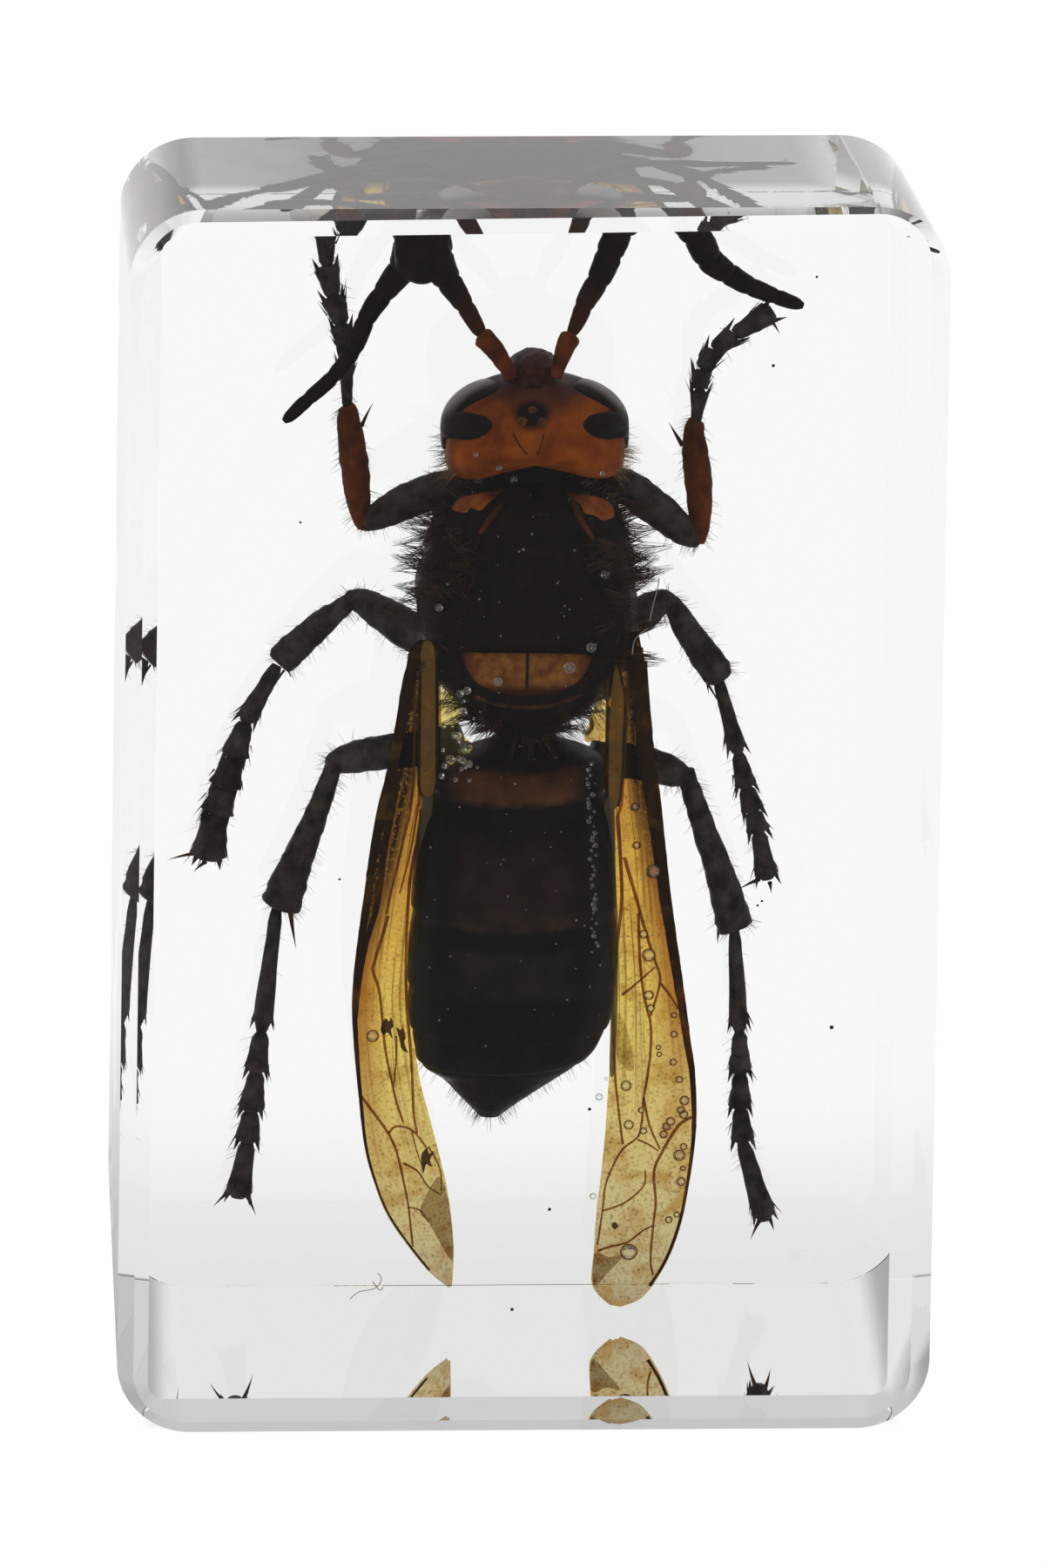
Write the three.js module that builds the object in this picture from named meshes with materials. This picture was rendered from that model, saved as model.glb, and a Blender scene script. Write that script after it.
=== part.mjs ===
// Insect paperweight: the clear cast resin block that holds the specimen. Millimetres, +Z up.
// The block stands on its lower end face. +X is to the right of the front face, which looks along -Y.
// Origin: the centre of the bounding box's footprint, on the surface that the block stands on.

import * as THREE from 'three';

// Driving dimensions of the casting, before it is tipped on to its lower end.
const WIDTH = 45; // across the front, at the widest outline
const HEIGHT = 71.2; // along the front, at the tallest outline
const THICKNESS = 25; // front face to back face
const CORNER_RADIUS = 4.1; // of the outline, seen from the front
const END_DRAFT_DEG = 8.45; // how far the two end walls close in towards the back
const SIDE_DRAFT_DEG = 1.4; // the same for the two long walls
const BACK_EDGE = 0.25; // the small chamfer round the back face
const CORNER_STEPS = 16; // facets in each quarter turn of a corner

// The front edge is ground in two facets, wider along the right and the bottom. Insets from the outline.
const OUTER_FACET_DEPTH = 1.1;
const INNER_FACET_DEPTH = 0.8;
const OUTER_FACET = { left: 0.85, right: 1.13, bottom: 1.0, topLeft: 0.4, topRight: 0.02 };
const INNER_FACET = { left: 0.77, right: 1.35, bottom: 1.66, topLeft: 0.61, topRight: 0.61 };
const OUTER_FACET_RADIUS = 2.9; // corner radius where the two facets meet
const FRONT_FACE_RADIUS = 0.9; // corner radius of the flat front face

const RESIN = { color: 0xf4f6f3, roughness: 0.03, metalness: 0, transparent: true, opacity: 0.35 };

const NO_INSET = { left: 0, right: 0, bottom: 0, topLeft: 0, topRight: 0 };

function addInsets(a, b) {
  return Object.fromEntries(Object.keys(a).map((side) => [side, a[side] + b[side]]));
}

function evenInset(ends, sides) {
  return { left: sides, right: sides, bottom: ends, topLeft: ends, topRight: ends };
}

// The four corner points of the outline once each side is set in, counter-clockwise seen from the front.
function insetCorners(inset) {
  const left = -WIDTH / 2 + inset.left;
  const right = WIDTH / 2 - inset.right;
  return [
    new THREE.Vector2(left, inset.bottom),
    new THREE.Vector2(right, inset.bottom),
    new THREE.Vector2(right, HEIGHT - inset.topRight),
    new THREE.Vector2(left, HEIGHT - inset.topLeft),
  ];
}

// The same outline with each corner rounded by an arc: 4 * (CORNER_STEPS + 1) points.
function roundedOutline(inset, radius) {
  const corners = insetCorners(inset);
  return corners.flatMap((corner, i) => {
    const toPrevious = corners[(i + 3) % 4].clone().sub(corner).normalize();
    const toNext = corners[(i + 1) % 4].clone().sub(corner).normalize();
    const halfAngle = Math.acos(toPrevious.dot(toNext)) / 2;
    const toCentre = toPrevious.clone().add(toNext).normalize();
    const centre = corner.clone().addScaledVector(toCentre, radius / Math.sin(halfAngle));
    const middle = Math.atan2(-toCentre.y, -toCentre.x);
    const halfTurn = Math.PI / 2 - halfAngle;
    const arc = new THREE.ArcCurve(centre.x, centre.y, radius, middle - halfTurn, middle + halfTurn, false);
    return arc.getPoints(CORNER_STEPS);
  });
}

// Joins rings of equal count, front to back, and closes both ends.
function loft(rings) {
  const count = rings[0].outline.length;
  const positions = rings.flatMap(({ outline, depth }) => outline.flatMap((p) => [p.x, depth, p.y]));
  const indices = [];
  for (let ring = 0; ring < rings.length - 1; ring += 1) {
    for (let i = 0; i < count; i += 1) {
      const next = (i + 1) % count;
      const [a, b] = [ring * count + i, ring * count + next];
      const [c, d] = [a + count, b + count];
      indices.push(a, c, b, b, c, d);
    }
  }
  const caps = THREE.ShapeUtils.triangulateShape(rings[0].outline, []);
  const backStart = (rings.length - 1) * count;
  for (const [a, b, c] of caps) {
    indices.push(a, b, c);
    indices.push(backStart + a, backStart + c, backStart + b);
  }
  const geometry = new THREE.BufferGeometry();
  geometry.setAttribute('position', new THREE.Float32BufferAttribute(positions, 3));
  geometry.setIndex(indices);
  geometry.computeVertexNormals();
  return geometry;
}

function makeResinBlock() {
  const endDraft = THREE.MathUtils.degToRad(END_DRAFT_DEG);
  const sideDraft = THREE.MathUtils.degToRad(SIDE_DRAFT_DEG);
  const wallStart = INNER_FACET_DEPTH + OUTER_FACET_DEPTH;
  const wallRun = THICKNESS - BACK_EDGE - wallStart;
  const wallInset = evenInset(wallRun * Math.tan(endDraft), wallRun * Math.tan(sideDraft));
  const backInset = addInsets(wallInset, evenInset(BACK_EDGE, BACK_EDGE));
  const frontInset = addInsets(OUTER_FACET, INNER_FACET);
  const geometry = loft([
    { depth: 0, outline: roundedOutline(frontInset, FRONT_FACE_RADIUS) },
    { depth: INNER_FACET_DEPTH, outline: roundedOutline(OUTER_FACET, OUTER_FACET_RADIUS) },
    { depth: wallStart, outline: roundedOutline(NO_INSET, CORNER_RADIUS) },
    { depth: THICKNESS - BACK_EDGE, outline: roundedOutline(wallInset, CORNER_RADIUS) },
    { depth: THICKNESS, outline: roundedOutline(backInset, CORNER_RADIUS - BACK_EDGE) },
  ]);

  // Tipped back by the end draft, so that the lower end wall lies flat on the ground.
  geometry.rotateX(-endDraft);
  geometry.computeBoundingBox();
  const box = geometry.boundingBox;
  const centre = box.getCenter(new THREE.Vector3());
  geometry.translate(-centre.x, -centre.y, -box.min.z);

  const block = new THREE.Mesh(geometry, new THREE.MeshStandardMaterial(RESIN));
  block.name = 'resin_block';
  return block;
}

const paperweight = new THREE.Group();
paperweight.add(makeResinBlock());

export default paperweight;
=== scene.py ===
import math
import random

import bmesh
import bpy
from mathutils import Matrix, Vector, noise
from mathutils.bvhtree import BVHTree


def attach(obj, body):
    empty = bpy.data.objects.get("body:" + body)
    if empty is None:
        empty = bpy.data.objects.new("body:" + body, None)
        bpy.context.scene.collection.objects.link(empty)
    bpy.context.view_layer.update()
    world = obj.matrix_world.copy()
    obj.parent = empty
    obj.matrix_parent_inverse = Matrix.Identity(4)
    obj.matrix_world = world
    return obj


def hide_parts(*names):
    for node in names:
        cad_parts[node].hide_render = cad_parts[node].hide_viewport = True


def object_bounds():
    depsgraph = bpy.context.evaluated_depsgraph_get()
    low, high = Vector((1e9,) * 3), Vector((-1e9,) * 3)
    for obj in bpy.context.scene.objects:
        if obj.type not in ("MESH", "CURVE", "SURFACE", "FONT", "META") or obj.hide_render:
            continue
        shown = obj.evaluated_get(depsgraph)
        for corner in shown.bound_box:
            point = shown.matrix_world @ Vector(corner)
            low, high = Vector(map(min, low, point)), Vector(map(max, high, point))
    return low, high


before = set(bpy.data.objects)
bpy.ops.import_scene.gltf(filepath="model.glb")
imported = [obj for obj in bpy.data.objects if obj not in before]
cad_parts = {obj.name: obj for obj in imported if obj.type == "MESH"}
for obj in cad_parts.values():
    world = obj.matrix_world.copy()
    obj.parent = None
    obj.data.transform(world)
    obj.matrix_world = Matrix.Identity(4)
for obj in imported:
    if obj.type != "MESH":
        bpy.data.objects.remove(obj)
cadLow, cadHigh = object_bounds()
mm = 0.001

# The block's own frame: x to the right, depth into the block from its front face, z up its long side.
block = {
    "width": 45.0,
    "height": 71.2,
    "thickness": 25.0,
    "cornerRadius": 4.1,
    "endDraft": 8.45,  # degrees that each end wall closes in towards the back
    "sideDraft": 1.4,
    "backEdge": 0.08,
    "innerFacetDepth": 0.8,
    "outerFacetDepth": 1.1,
    "outerFacet": dict(left=0.85, right=1.13, bottom=1.0, topLeft=0.4, topRight=0.02),
    "innerFacet": dict(left=0.77, right=1.35, bottom=1.66, topLeft=0.61, topRight=0.61),
    "outerFacetRadius": 2.9,
    "frontFaceRadius": 0.9,
    "cornerSteps": 44,
    "ior": 1.5,
}


def addInsets(a, b):
    return {side: a[side] + b[side] for side in a}


def evenInset(ends, sides):
    return dict(left=sides, right=sides, bottom=ends, topLeft=ends, topRight=ends)


def roundedOutline(inset, radius, steps):
    left, right = -block["width"] / 2 + inset["left"], block["width"] / 2 - inset["right"]
    corners = [
        Vector((left, inset["bottom"])),
        Vector((right, inset["bottom"])),
        Vector((right, block["height"] - inset["topRight"])),
        Vector((left, block["height"] - inset["topLeft"])),
    ]
    points = []
    for i, corner in enumerate(corners):
        toPrevious = (corners[i - 1] - corner).normalized()
        toNext = (corners[(i + 1) % 4] - corner).normalized()
        halfAngle = math.acos(toPrevious.dot(toNext)) / 2
        toCentre = (toPrevious + toNext).normalized()
        centre = corner + toCentre * radius / math.sin(halfAngle)
        middle = math.atan2(-toCentre.y, -toCentre.x)
        halfTurn = math.pi / 2 - halfAngle
        for step in range(steps + 1):
            turn = middle - halfTurn + 2 * halfTurn * step / steps
            points.append(centre + Vector((math.cos(turn), math.sin(turn))) * radius)
    return points


def blockRings(steps):
    wallStart = block["innerFacetDepth"] + block["outerFacetDepth"]
    wallRun = block["thickness"] - block["backEdge"] - wallStart
    endInset = wallRun * math.tan(math.radians(block["endDraft"]))
    sideInset = wallRun * math.tan(math.radians(block["sideDraft"]))
    wallInset = evenInset(endInset, sideInset)
    backInset = addInsets(wallInset, evenInset(block["backEdge"], block["backEdge"]))
    frontInset = addInsets(block["outerFacet"], block["innerFacet"])
    stations = [
        (0.0, frontInset, block["frontFaceRadius"]),
        (block["innerFacetDepth"], block["outerFacet"], block["outerFacetRadius"]),
        (wallStart, evenInset(0, 0), block["cornerRadius"]),
        (block["thickness"] - block["backEdge"], wallInset, block["cornerRadius"]),
        (block["thickness"], backInset, block["cornerRadius"] - block["backEdge"]),
    ]
    return [
        [Vector((p.x, depth, p.y)) for p in roundedOutline(inset, radius, steps)]
        for depth, inset, radius in stations
    ]


tip = Matrix.Rotation(-math.radians(block["endDraft"]), 3, "X")  # the lower end wall comes to lie flat
tipped = [tip @ p for ring in blockRings(block["cornerSteps"]) for p in ring]
cadMiddle = (cadLow + cadHigh) / (2 * mm)
blockOffset = Vector((
    cadMiddle.x - (min(p.x for p in tipped) + max(p.x for p in tipped)) / 2,
    cadMiddle.y - (min(p.y for p in tipped) + max(p.y for p in tipped)) / 2,
    cadLow.z / mm - min(p.z for p in tipped),
))
toWorld = Matrix.Scale(mm, 4) @ Matrix.Translation(blockOffset) @ tip.to_4x4()
print("block frame set", [round(v, 3) for v in blockOffset])

# The camera, and how it sees into the block: a long lens, above and to the left of the front face.
picture = {
    "width": 1200,
    "height": 1801,
    "pixelsPerMm": 20.88,  # on the front face
    "distance": 2000.0,
    "elevation": 19.2,  # degrees above the front face's own normal
    "azimuth": 3.6,  # degrees to the left of it
    "roll": 1.5,
    "blockMiddle": (611, 945),  # where the middle of the front outline is seen
    "sensor": 36.0,
}


def cameraAxes():
    e, a = math.radians(picture["elevation"]), math.radians(picture["azimuth"])
    towards = tip @ Vector((-math.sin(a) * math.cos(e), -math.cos(a) * math.cos(e), math.sin(e)))
    right = (-towards).cross(Vector((0, 0, 1))).normalized()
    up = right.cross(-towards)
    roll = math.radians(picture["roll"])
    return right * math.cos(roll) + up * math.sin(roll), up * math.cos(roll) - right * math.sin(roll), towards


def makeCamera():
    right, up, towards = cameraAxes()
    facetDepth = block["innerFacetDepth"] + block["outerFacetDepth"]
    aim = toWorld @ Vector((0, facetDepth, block["height"] / 2))
    offRight = (picture["blockMiddle"][0] - picture["width"] / 2) / picture["pixelsPerMm"]
    offDown = (picture["blockMiddle"][1] - picture["height"] / 2) / picture["pixelsPerMm"]
    data = bpy.data.cameras.new("studioCamera")
    camera = bpy.data.objects.new("studioCamera", data)
    bpy.context.scene.collection.objects.link(camera)
    data.sensor_width = picture["sensor"]
    data.lens = picture["pixelsPerMm"] * picture["distance"] * picture["sensor"] / picture["height"]
    data.clip_start, data.clip_end = 0.1, 20
    place = aim + mm * (towards * picture["distance"] - right * offRight + up * offDown)
    camera.matrix_world = Matrix.Translation(place) @ Matrix((right, up, towards)).transposed().to_4x4()
    bpy.context.scene.camera = camera
    return place


cameraPlace = toWorld.inverted() @ makeCamera()
rightAxis, upAxis, backAxis = (tip.transposed() @ axis for axis in cameraAxes())
print("camera made")


def seen(x, y, depth):
    # the point at this depth in the block that shows at picture point x, y: the ray bends at the front face
    focal = picture["pixelsPerMm"] * picture["distance"]
    across, down = (x - picture["width"] / 2) / focal, (y - picture["height"] / 2) / focal
    ray = (rightAxis * across - upAxis * down - backAxis).normalized()
    hit = cameraPlace - ray * (cameraPlace.y / ray.y)
    inside = Vector((ray.x / block["ior"], 0, ray.z / block["ior"]))
    inside.y = math.sqrt(1 - inside.length_squared)
    return hit + inside * (depth / inside.y)


def hexColour(text, alpha=1.0):
    def linear(v):
        return v / 12.92 if v <= 0.04045 else ((v + 0.055) / 1.055) ** 2.4

    text = text.lstrip("#")
    return tuple(linear(int(text[i:i + 2], 16) / 255) for i in (0, 2, 4)) + (alpha,)


def addNode(material, kind, settings=None, links=None):
    tree = material.node_tree
    node = tree.nodes.new(kind)
    for key, value in (settings or {}).items():
        if hasattr(node, str(key)):
            setattr(node, key, value)
        else:
            node.inputs[key].default_value = value
    for key, source in (links or {}).items():
        tree.links.new(source, node.inputs[key])
    return node


def newMaterial(name):
    material = bpy.data.materials.new(name)
    material.use_nodes = True
    material.node_tree.nodes.clear()
    return material


def finishMaterial(material, shader):
    addNode(material, "ShaderNodeOutputMaterial", links={"Surface": shader.outputs[0]})
    return material


def blockPlace(material):
    # the surface point in the block's own frame, in millimetres
    back = tip.transposed()
    coordinate = addNode(material, "ShaderNodeTexCoord")
    mapping = addNode(material, "ShaderNodeMapping", {
        "Location": tuple(-(back @ blockOffset)),
        "Rotation": (math.radians(block["endDraft"]), 0, 0),
        "Scale": (1 / mm, 1 / mm, 1 / mm),
    }, {"Vector": coordinate.outputs["Object"]})
    return mapping.outputs["Vector"]


def addRamp(material, fac, stops, interpolation="LINEAR"):
    ramp = addNode(material, "ShaderNodeValToRGB", links={"Fac": fac})
    ramp.color_ramp.interpolation = interpolation
    elements = ramp.color_ramp.elements
    while len(elements) < len(stops):
        elements.new(0.5)
    for element, (position, colour) in zip(elements, stops):
        element.position = position
        element.color = hexColour(colour)
    return ramp.outputs["Color"]


def addMix(material, fac, a, b, blend="MIX"):
    mix = addNode(material, "ShaderNodeMix", {"data_type": "RGBA", "blend_type": blend})
    for socket, value in zip((mix.inputs[0], mix.inputs[6], mix.inputs[7]), (fac, a, b)):
        if isinstance(value, bpy.types.NodeSocket):
            material.node_tree.links.new(value, socket)
        else:
            socket.default_value = hexColour(value) if isinstance(value, str) else value
    return mix.outputs[2]


def addMath(material, operation, *values):
    node = addNode(material, "ShaderNodeMath", {"operation": operation})
    for socket, value in zip(node.inputs, values):
        if isinstance(value, bpy.types.NodeSocket):
            material.node_tree.links.new(value, socket)
        else:
            socket.default_value = value
    return node.outputs[0]


def mapRange(material, value, low, high, toLow=0.0, toHigh=1.0):
    node = addNode(material, "ShaderNodeMapRange", {
        "interpolation_type": "SMOOTHSTEP",
        "From Min": low, "From Max": high, "To Min": toLow, "To Max": toHigh,
    }, {"Value": value})
    return node.outputs["Result"]


def smoothRows(rows, perSpan, closed=False):
    # a smooth curve through rows of numbers
    result = []
    count = len(rows)
    for i in range(count if closed else count - 1):
        four = [rows[(i + k) % count] if closed else rows[min(max(i + k, 0), count - 1)] for k in (-1, 0, 1, 2)]
        for step in range(perSpan):
            t = step / perSpan
            result.append(tuple(
                (2 * b + (c - a) * t + (2 * a - 5 * b + 4 * c - d) * t ** 2 + (3 * b - a - 3 * c + d) * t ** 3) / 2
                for a, b, c, d in zip(*four)
            ))
    if not closed:
        result.append(tuple(rows[-1]))
    return result


def newShape():
    return {"points": [], "faces": [], "uvs": []}


def addRings(shape, rings, capped=True):
    base, count = len(shape["points"]), len(rings[0])
    for ring in rings:
        shape["points"] += ring
    for k in range(len(rings) - 1):
        for i in range(count):
            j = (i + 1) % count
            a = base + k * count
            shape["faces"].append((a + i, a + j, a + count + j, a + count + i))
    if not capped:
        return
    for k, flip in ((0, True), (len(rings) - 1, False)):
        shape["points"].append(sum(rings[k], Vector()) / count)
        pole = len(shape["points"]) - 1
        for i in range(count):
            edge = (base + k * count + i, base + k * count + (i + 1) % count)
            shape["faces"].append((edge[1], edge[0], pole) if flip else (edge[0], edge[1], pole))


def addGrid(shape, rows, stretch=1.0):
    # an open sheet through rows of points, with its u across the rows and its v along them
    base, count = len(shape["points"]), len(rows[0])
    for k, row in enumerate(rows):
        shape["points"] += row
        shape["uvs"] += [(i / (count - 1), (k / (len(rows) - 1)) ** stretch) for i in range(count)]
    for k in range(len(rows) - 1):
        for i in range(count - 1):
            a = base + k * count + i
            shape["faces"].append((a, a + 1, a + count + 1, a + count))


def tubeRings(path, sides=16, flat=1.0, rough=0.0):
    # rings about a path of (point, radius), turned as little as can be from one to the next
    rings = []
    across = None
    for i, (point, radius) in enumerate(path):
        before, after = path[max(i - 1, 0)][0], path[min(i + 1, len(path) - 1)][0]
        along = (after - before).normalized()
        if across is None:
            across = along.cross(Vector((0, 1, 0)))
        across = (across - along * across.dot(along)).normalized()
        other = along.cross(across)
        ring = []
        for k in range(sides):
            turn = 2 * math.pi * k / sides
            out = across * math.cos(turn) + other * math.sin(turn) * flat
            lump = 1 + rough * noise.noise((point + out * radius) * 2.3)
            ring.append(point + out * radius * lump)
        rings.append(ring)
    return rings


def limbPath(rows, perSpan=6):
    # rows of picture x, picture y, depth, width in the picture
    return [
        (seen(x, y, depth), max(width, 1) / 2 / picture["pixelsPerMm"])
        for x, y, depth, width in smoothRows(rows, perSpan)
    ]


def addLimb(shape, rows, sides=20, perSpan=6, flat=1.0, rough=0.08):
    rings = tubeRings(limbPath(rows, perSpan), sides, flat, rough)
    addRings(shape, rings)
    return rings


def addSpike(shape, root, way, length, radius, bend=Vector(), steps=3, sides=4):
    path = []
    for k in range(steps + 1):
        t = k / steps
        path.append((root + way * length * t + bend * t * t, radius * (1 - t) + 0.004))
    addRings(shape, tubeRings(path, sides), capped=False)


def scatterHairs(shape, rings, settings, keep=None):
    # hairs that stand on a ringed surface and lean the way that the settings give, some in pointed tufts
    rng = random.Random(settings["seed"])
    sides = len(rings[0])

    def surfaceAt(i, j):
        i = min(max(i, 0), len(rings) - 1.001)
        a, b, s, t = int(i), int(j) % sides, i - int(i), j - math.floor(j)
        first = rings[a][b].lerp(rings[a][(b + 1) % sides], t)
        second = rings[a + 1][b].lerp(rings[a + 1][(b + 1) % sides], t)
        root = first.lerp(second, s)
        middle = (sum(rings[a], Vector()) / sides).lerp(sum(rings[a + 1], Vector()) / sides, s)
        return root, (root - settings.get("centre", middle)).normalized()

    for _ in range(settings["count"]):
        i, j = rng.random() * (len(rings) - 1.001), rng.random() * sides
        root, out = surfaceAt(i, j)
        if keep and rng.random() > keep(root, out):
            continue
        clump = noise.noise_vector(root * settings.get("clump", 1.5)) * settings.get("clumping", 0.5)
        jitter = Vector([rng.uniform(-1, 1) for _ in range(3)]) * settings.get("jitter", 0.25)
        way = (out + Vector(settings["lean"]) + clump + jitter).normalized()
        length = settings["length"] * rng.uniform(0.5, 1.15)
        bend = Vector(settings.get("bend", (0, 0, 0))) * length
        for n in range(settings.get("tuft", 1)):
            near, up = surfaceAt(i + rng.uniform(-2, 2), j + rng.uniform(-1, 1)) if n else (root, out)
            stray = Vector([rng.uniform(-1, 1) for _ in range(3)]) * settings.get("stray", 0.0)
            reach = root + way * length + stray - near
            addSpike(shape, near - up * 0.03, reach.normalized(), reach.length, settings["radius"], bend, steps=3, sides=3)


def makePiece(name, shape, material, smooth=True):
    mesh = bpy.data.meshes.new(name)
    mesh.from_pydata([tuple(toWorld @ p) for p in shape["points"]], [], shape["faces"])
    if shape["uvs"]:
        layer = mesh.uv_layers.new(name="alongWing")
        for loop in mesh.loops:
            layer.data[loop.index].uv = shape["uvs"][loop.vertex_index]
    mesh.update()
    mesh.polygons.foreach_set("use_smooth", [smooth] * len(mesh.polygons))
    mesh.materials.append(material)
    piece = bpy.data.objects.new(name, mesh)
    bpy.context.scene.collection.objects.link(piece)
    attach(piece, "root")
    return piece


def castResin():
    # Clear polyester resin, cast and polished: bright, water-clear, with edges that bend what lies behind them.
    m = newMaterial("castPolyesterResin")
    place = blockPlace(m)
    waves = addNode(m, "ShaderNodeTexNoise", {"Scale": 0.35, "Detail": 2.0}, {"Vector": place})
    bump = addNode(m, "ShaderNodeBump", {"Strength": 0.02, "Distance": 0.00002}, {"Height": waves.outputs["Fac"]})
    shader = addNode(m, "ShaderNodeBsdfPrincipled", {
        "Base Color": hexColour("#f9faf9"),
        "Roughness": 0.0,
        "IOR": block["ior"],
        "Transmission Weight": 1.0,
    }, {"Normal": bump.outputs["Normal"]})
    return finishMaterial(m, shader)


resinMaterial = castResin()


def makeResin():
    steps = block["cornerSteps"]
    rings = blockRings(steps)
    count = len(rings[0])
    shape = newShape()
    addRings(shape, rings, capped=False)
    curved = [(i % count + 1) % (steps + 1) != 0 for i in range(len(shape["faces"]))]
    last = (len(rings) - 1) * count
    shape["faces"] += [tuple(range(count - 1, -1, -1)), tuple(range(last, last + count))]
    piece = makePiece("resinBlock", shape, resinMaterial)
    piece.data.polygons.foreach_set("use_smooth", curved + [False, False])
    bm = bmesh.new()
    bm.from_mesh(piece.data)
    bmesh.ops.recalc_face_normals(bm, faces=bm.faces)
    bm.verts.index_update()
    for edge in bm.edges:
        a, b = edge.verts[0].index, edge.verts[1].index
        edge.smooth = a // count != b // count
    bm.to_mesh(piece.data)
    bm.free()
    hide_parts("resin_block")


makeResin()
print("resin made")


def cuticle(name, dark, light, blotch=1.2, roughness=0.5, pit=7.0, specular=0.04, depth=0.03):
    # Insect cuticle, dried and set in resin: a dull sheen with fine pits and uneven colour.
    m = newMaterial(name)
    place = blockPlace(m)
    cloud = addNode(m, "ShaderNodeTexNoise", {"Scale": blotch, "Detail": 5.0}, {"Vector": place})
    colour = addRamp(m, cloud.outputs["Fac"], [(0.35, dark), (0.68, light)])
    pits = addNode(m, "ShaderNodeTexVoronoi", {"Scale": pit}, {"Vector": place})
    bump = addNode(m, "ShaderNodeBump", {"Strength": 0.5, "Distance": depth * mm}, {"Height": pits.outputs["Distance"]})
    shine = addRamp(m, cloud.outputs["Fac"], [(0.3, "#8a8a8a"), (0.7, "#c0c0c0")])
    shader = addNode(m, "ShaderNodeBsdfPrincipled", {
        "Roughness": roughness,
        "Specular IOR Level": specular,
    }, {"Base Color": colour, "Normal": bump.outputs["Normal"], "Roughness": shine})
    finishMaterial(m, shader)
    return m, place, colour, shader


blackCuticle = cuticle("driedBlackCuticle", "#0f0d0b", "#211811")[0]
legCuticle = cuticle("driedLegCuticle", "#25211e", "#605853", blotch=0.9)[0]
brownCuticle = cuticle("driedBrownCuticle", "#3a2114", "#6b3f20", blotch=1.6)[0]
orangeLeg = cuticle("driedOrangeLegCuticle", "#4a2009", "#8a4412", blotch=0.8)[0]
hairFibre = cuticle("driedBodyHair", "#33231a", "#6e4f33", blotch=0.6, pit=3.0)[0]
paleHair = cuticle("driedGoldenHair", "#8c7444", "#c4ab74", blotch=0.6, pit=3.0)[0]


# Body sections: picture y, left x, right x, then the depths of the back and the belly.
thorax = {
    "rows": [
        (540, 572, 652, 13.2, 17.0),
        (553, 545, 680, 11.9, 18.0),
        (568, 524, 700, 10.9, 18.9),
        (600, 497, 716, 9.8, 19.7),
        (650, 482, 727, 9.3, 20.0),
        (700, 478, 733, 9.1, 20.0),
        (745, 484, 728, 9.3, 19.8),
        (780, 502, 705, 9.9, 19.4),
        (806, 530, 676, 10.9, 18.8),
        (828, 556, 646, 12.3, 18.0),
        (845, 574, 622, 13.6, 17.3),
    ],
    "fullness": 0.86,  # exponent of the section: lower is boxier
}
abdomen = {
    "rows": [
        (838, 578, 622, 13.9, 17.0),
        (850, 562, 645, 13.0, 17.6),
        (866, 518, 688, 11.6, 18.3),
        (892, 494, 700, 10.5, 18.9),
        (950, 480, 705, 9.8, 19.2),
        (1020, 473, 707, 9.6, 19.3),
        (1100, 468, 709, 9.7, 19.3),
        (1160, 468, 704, 10.2, 19.1),
        (1200, 475, 686, 10.9, 18.7),
        (1221, 482, 664, 11.6, 18.3),
        (1236, 506, 640, 12.4, 17.8),
        (1256, 526, 608, 13.3, 17.2),
        (1271, 541, 586, 14.2, 16.7),
        (1281, 551, 573, 14.9, 16.1),
    ],
    "fullness": 0.93,
    "edges": (927, 1072, 1157, 1203, 1236),  # picture y of each plate's hind edge
    "step": 0.16,
}


def bodySections(part, perSpan=8):
    sections = []
    for y, left, right, back, belly in smoothRows(part["rows"], perSpan):
        middle = (back + belly) / 2
        a, b = seen(left, y, middle), seen(right, y, middle)
        sections.append(dict(x=(a.x + b.x) / 2, z=(a.z + b.z) / 2, half=max((b.x - a.x) / 2, 0.05),
                             back=back, belly=belly, middle=middle))
    return sections


def sectionAt(sections, z):
    for upper, lower in zip(sections, sections[1:]):
        if upper["z"] >= z >= lower["z"]:
            t = (upper["z"] - z) / max(upper["z"] - lower["z"], 1e-6)
            return {key: upper[key] * (1 - t) + lower[key] * t for key in upper}
    return sections[0] if z > sections[0]["z"] else sections[-1]


def backDepth(sections, fullness, x, z):
    s = sectionAt(sections, z)
    side = min(abs(x - s["x"]) / s["half"], 1.0) ** (1 / fullness)
    return s["middle"] - (s["middle"] - s["back"]) * math.sqrt(max(1 - side * side, 0)) ** fullness


def seenOnBack(sections, fullness, x, y):
    depth = 11.0
    for _ in range(6):
        point = seen(x, y, depth)
        depth = backDepth(sections, fullness, point.x, point.z)
    return seen(x, y, depth)


def surfaceTree(rings):
    shape = newShape()
    addRings(shape, rings)
    return BVHTree.FromPolygons(shape["points"], shape["faces"])


def seenOn(tree, x, y, lift=0.0, missing=14.0):
    # the point of a surface that shows at picture point x, y, and the surface's own direction there
    start, end = seen(x, y, 0.5), seen(x, y, 24)
    hit, normal, _, _ = tree.ray_cast(start, (end - start).normalized())
    if hit is None:
        return seen(x, y, missing), Vector((0, -1, 0))
    normal = normal if normal.y < 0 else -normal
    return hit + normal * lift, normal


def signedPower(value, exponent):
    return math.copysign(abs(value) ** exponent, value)


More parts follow.
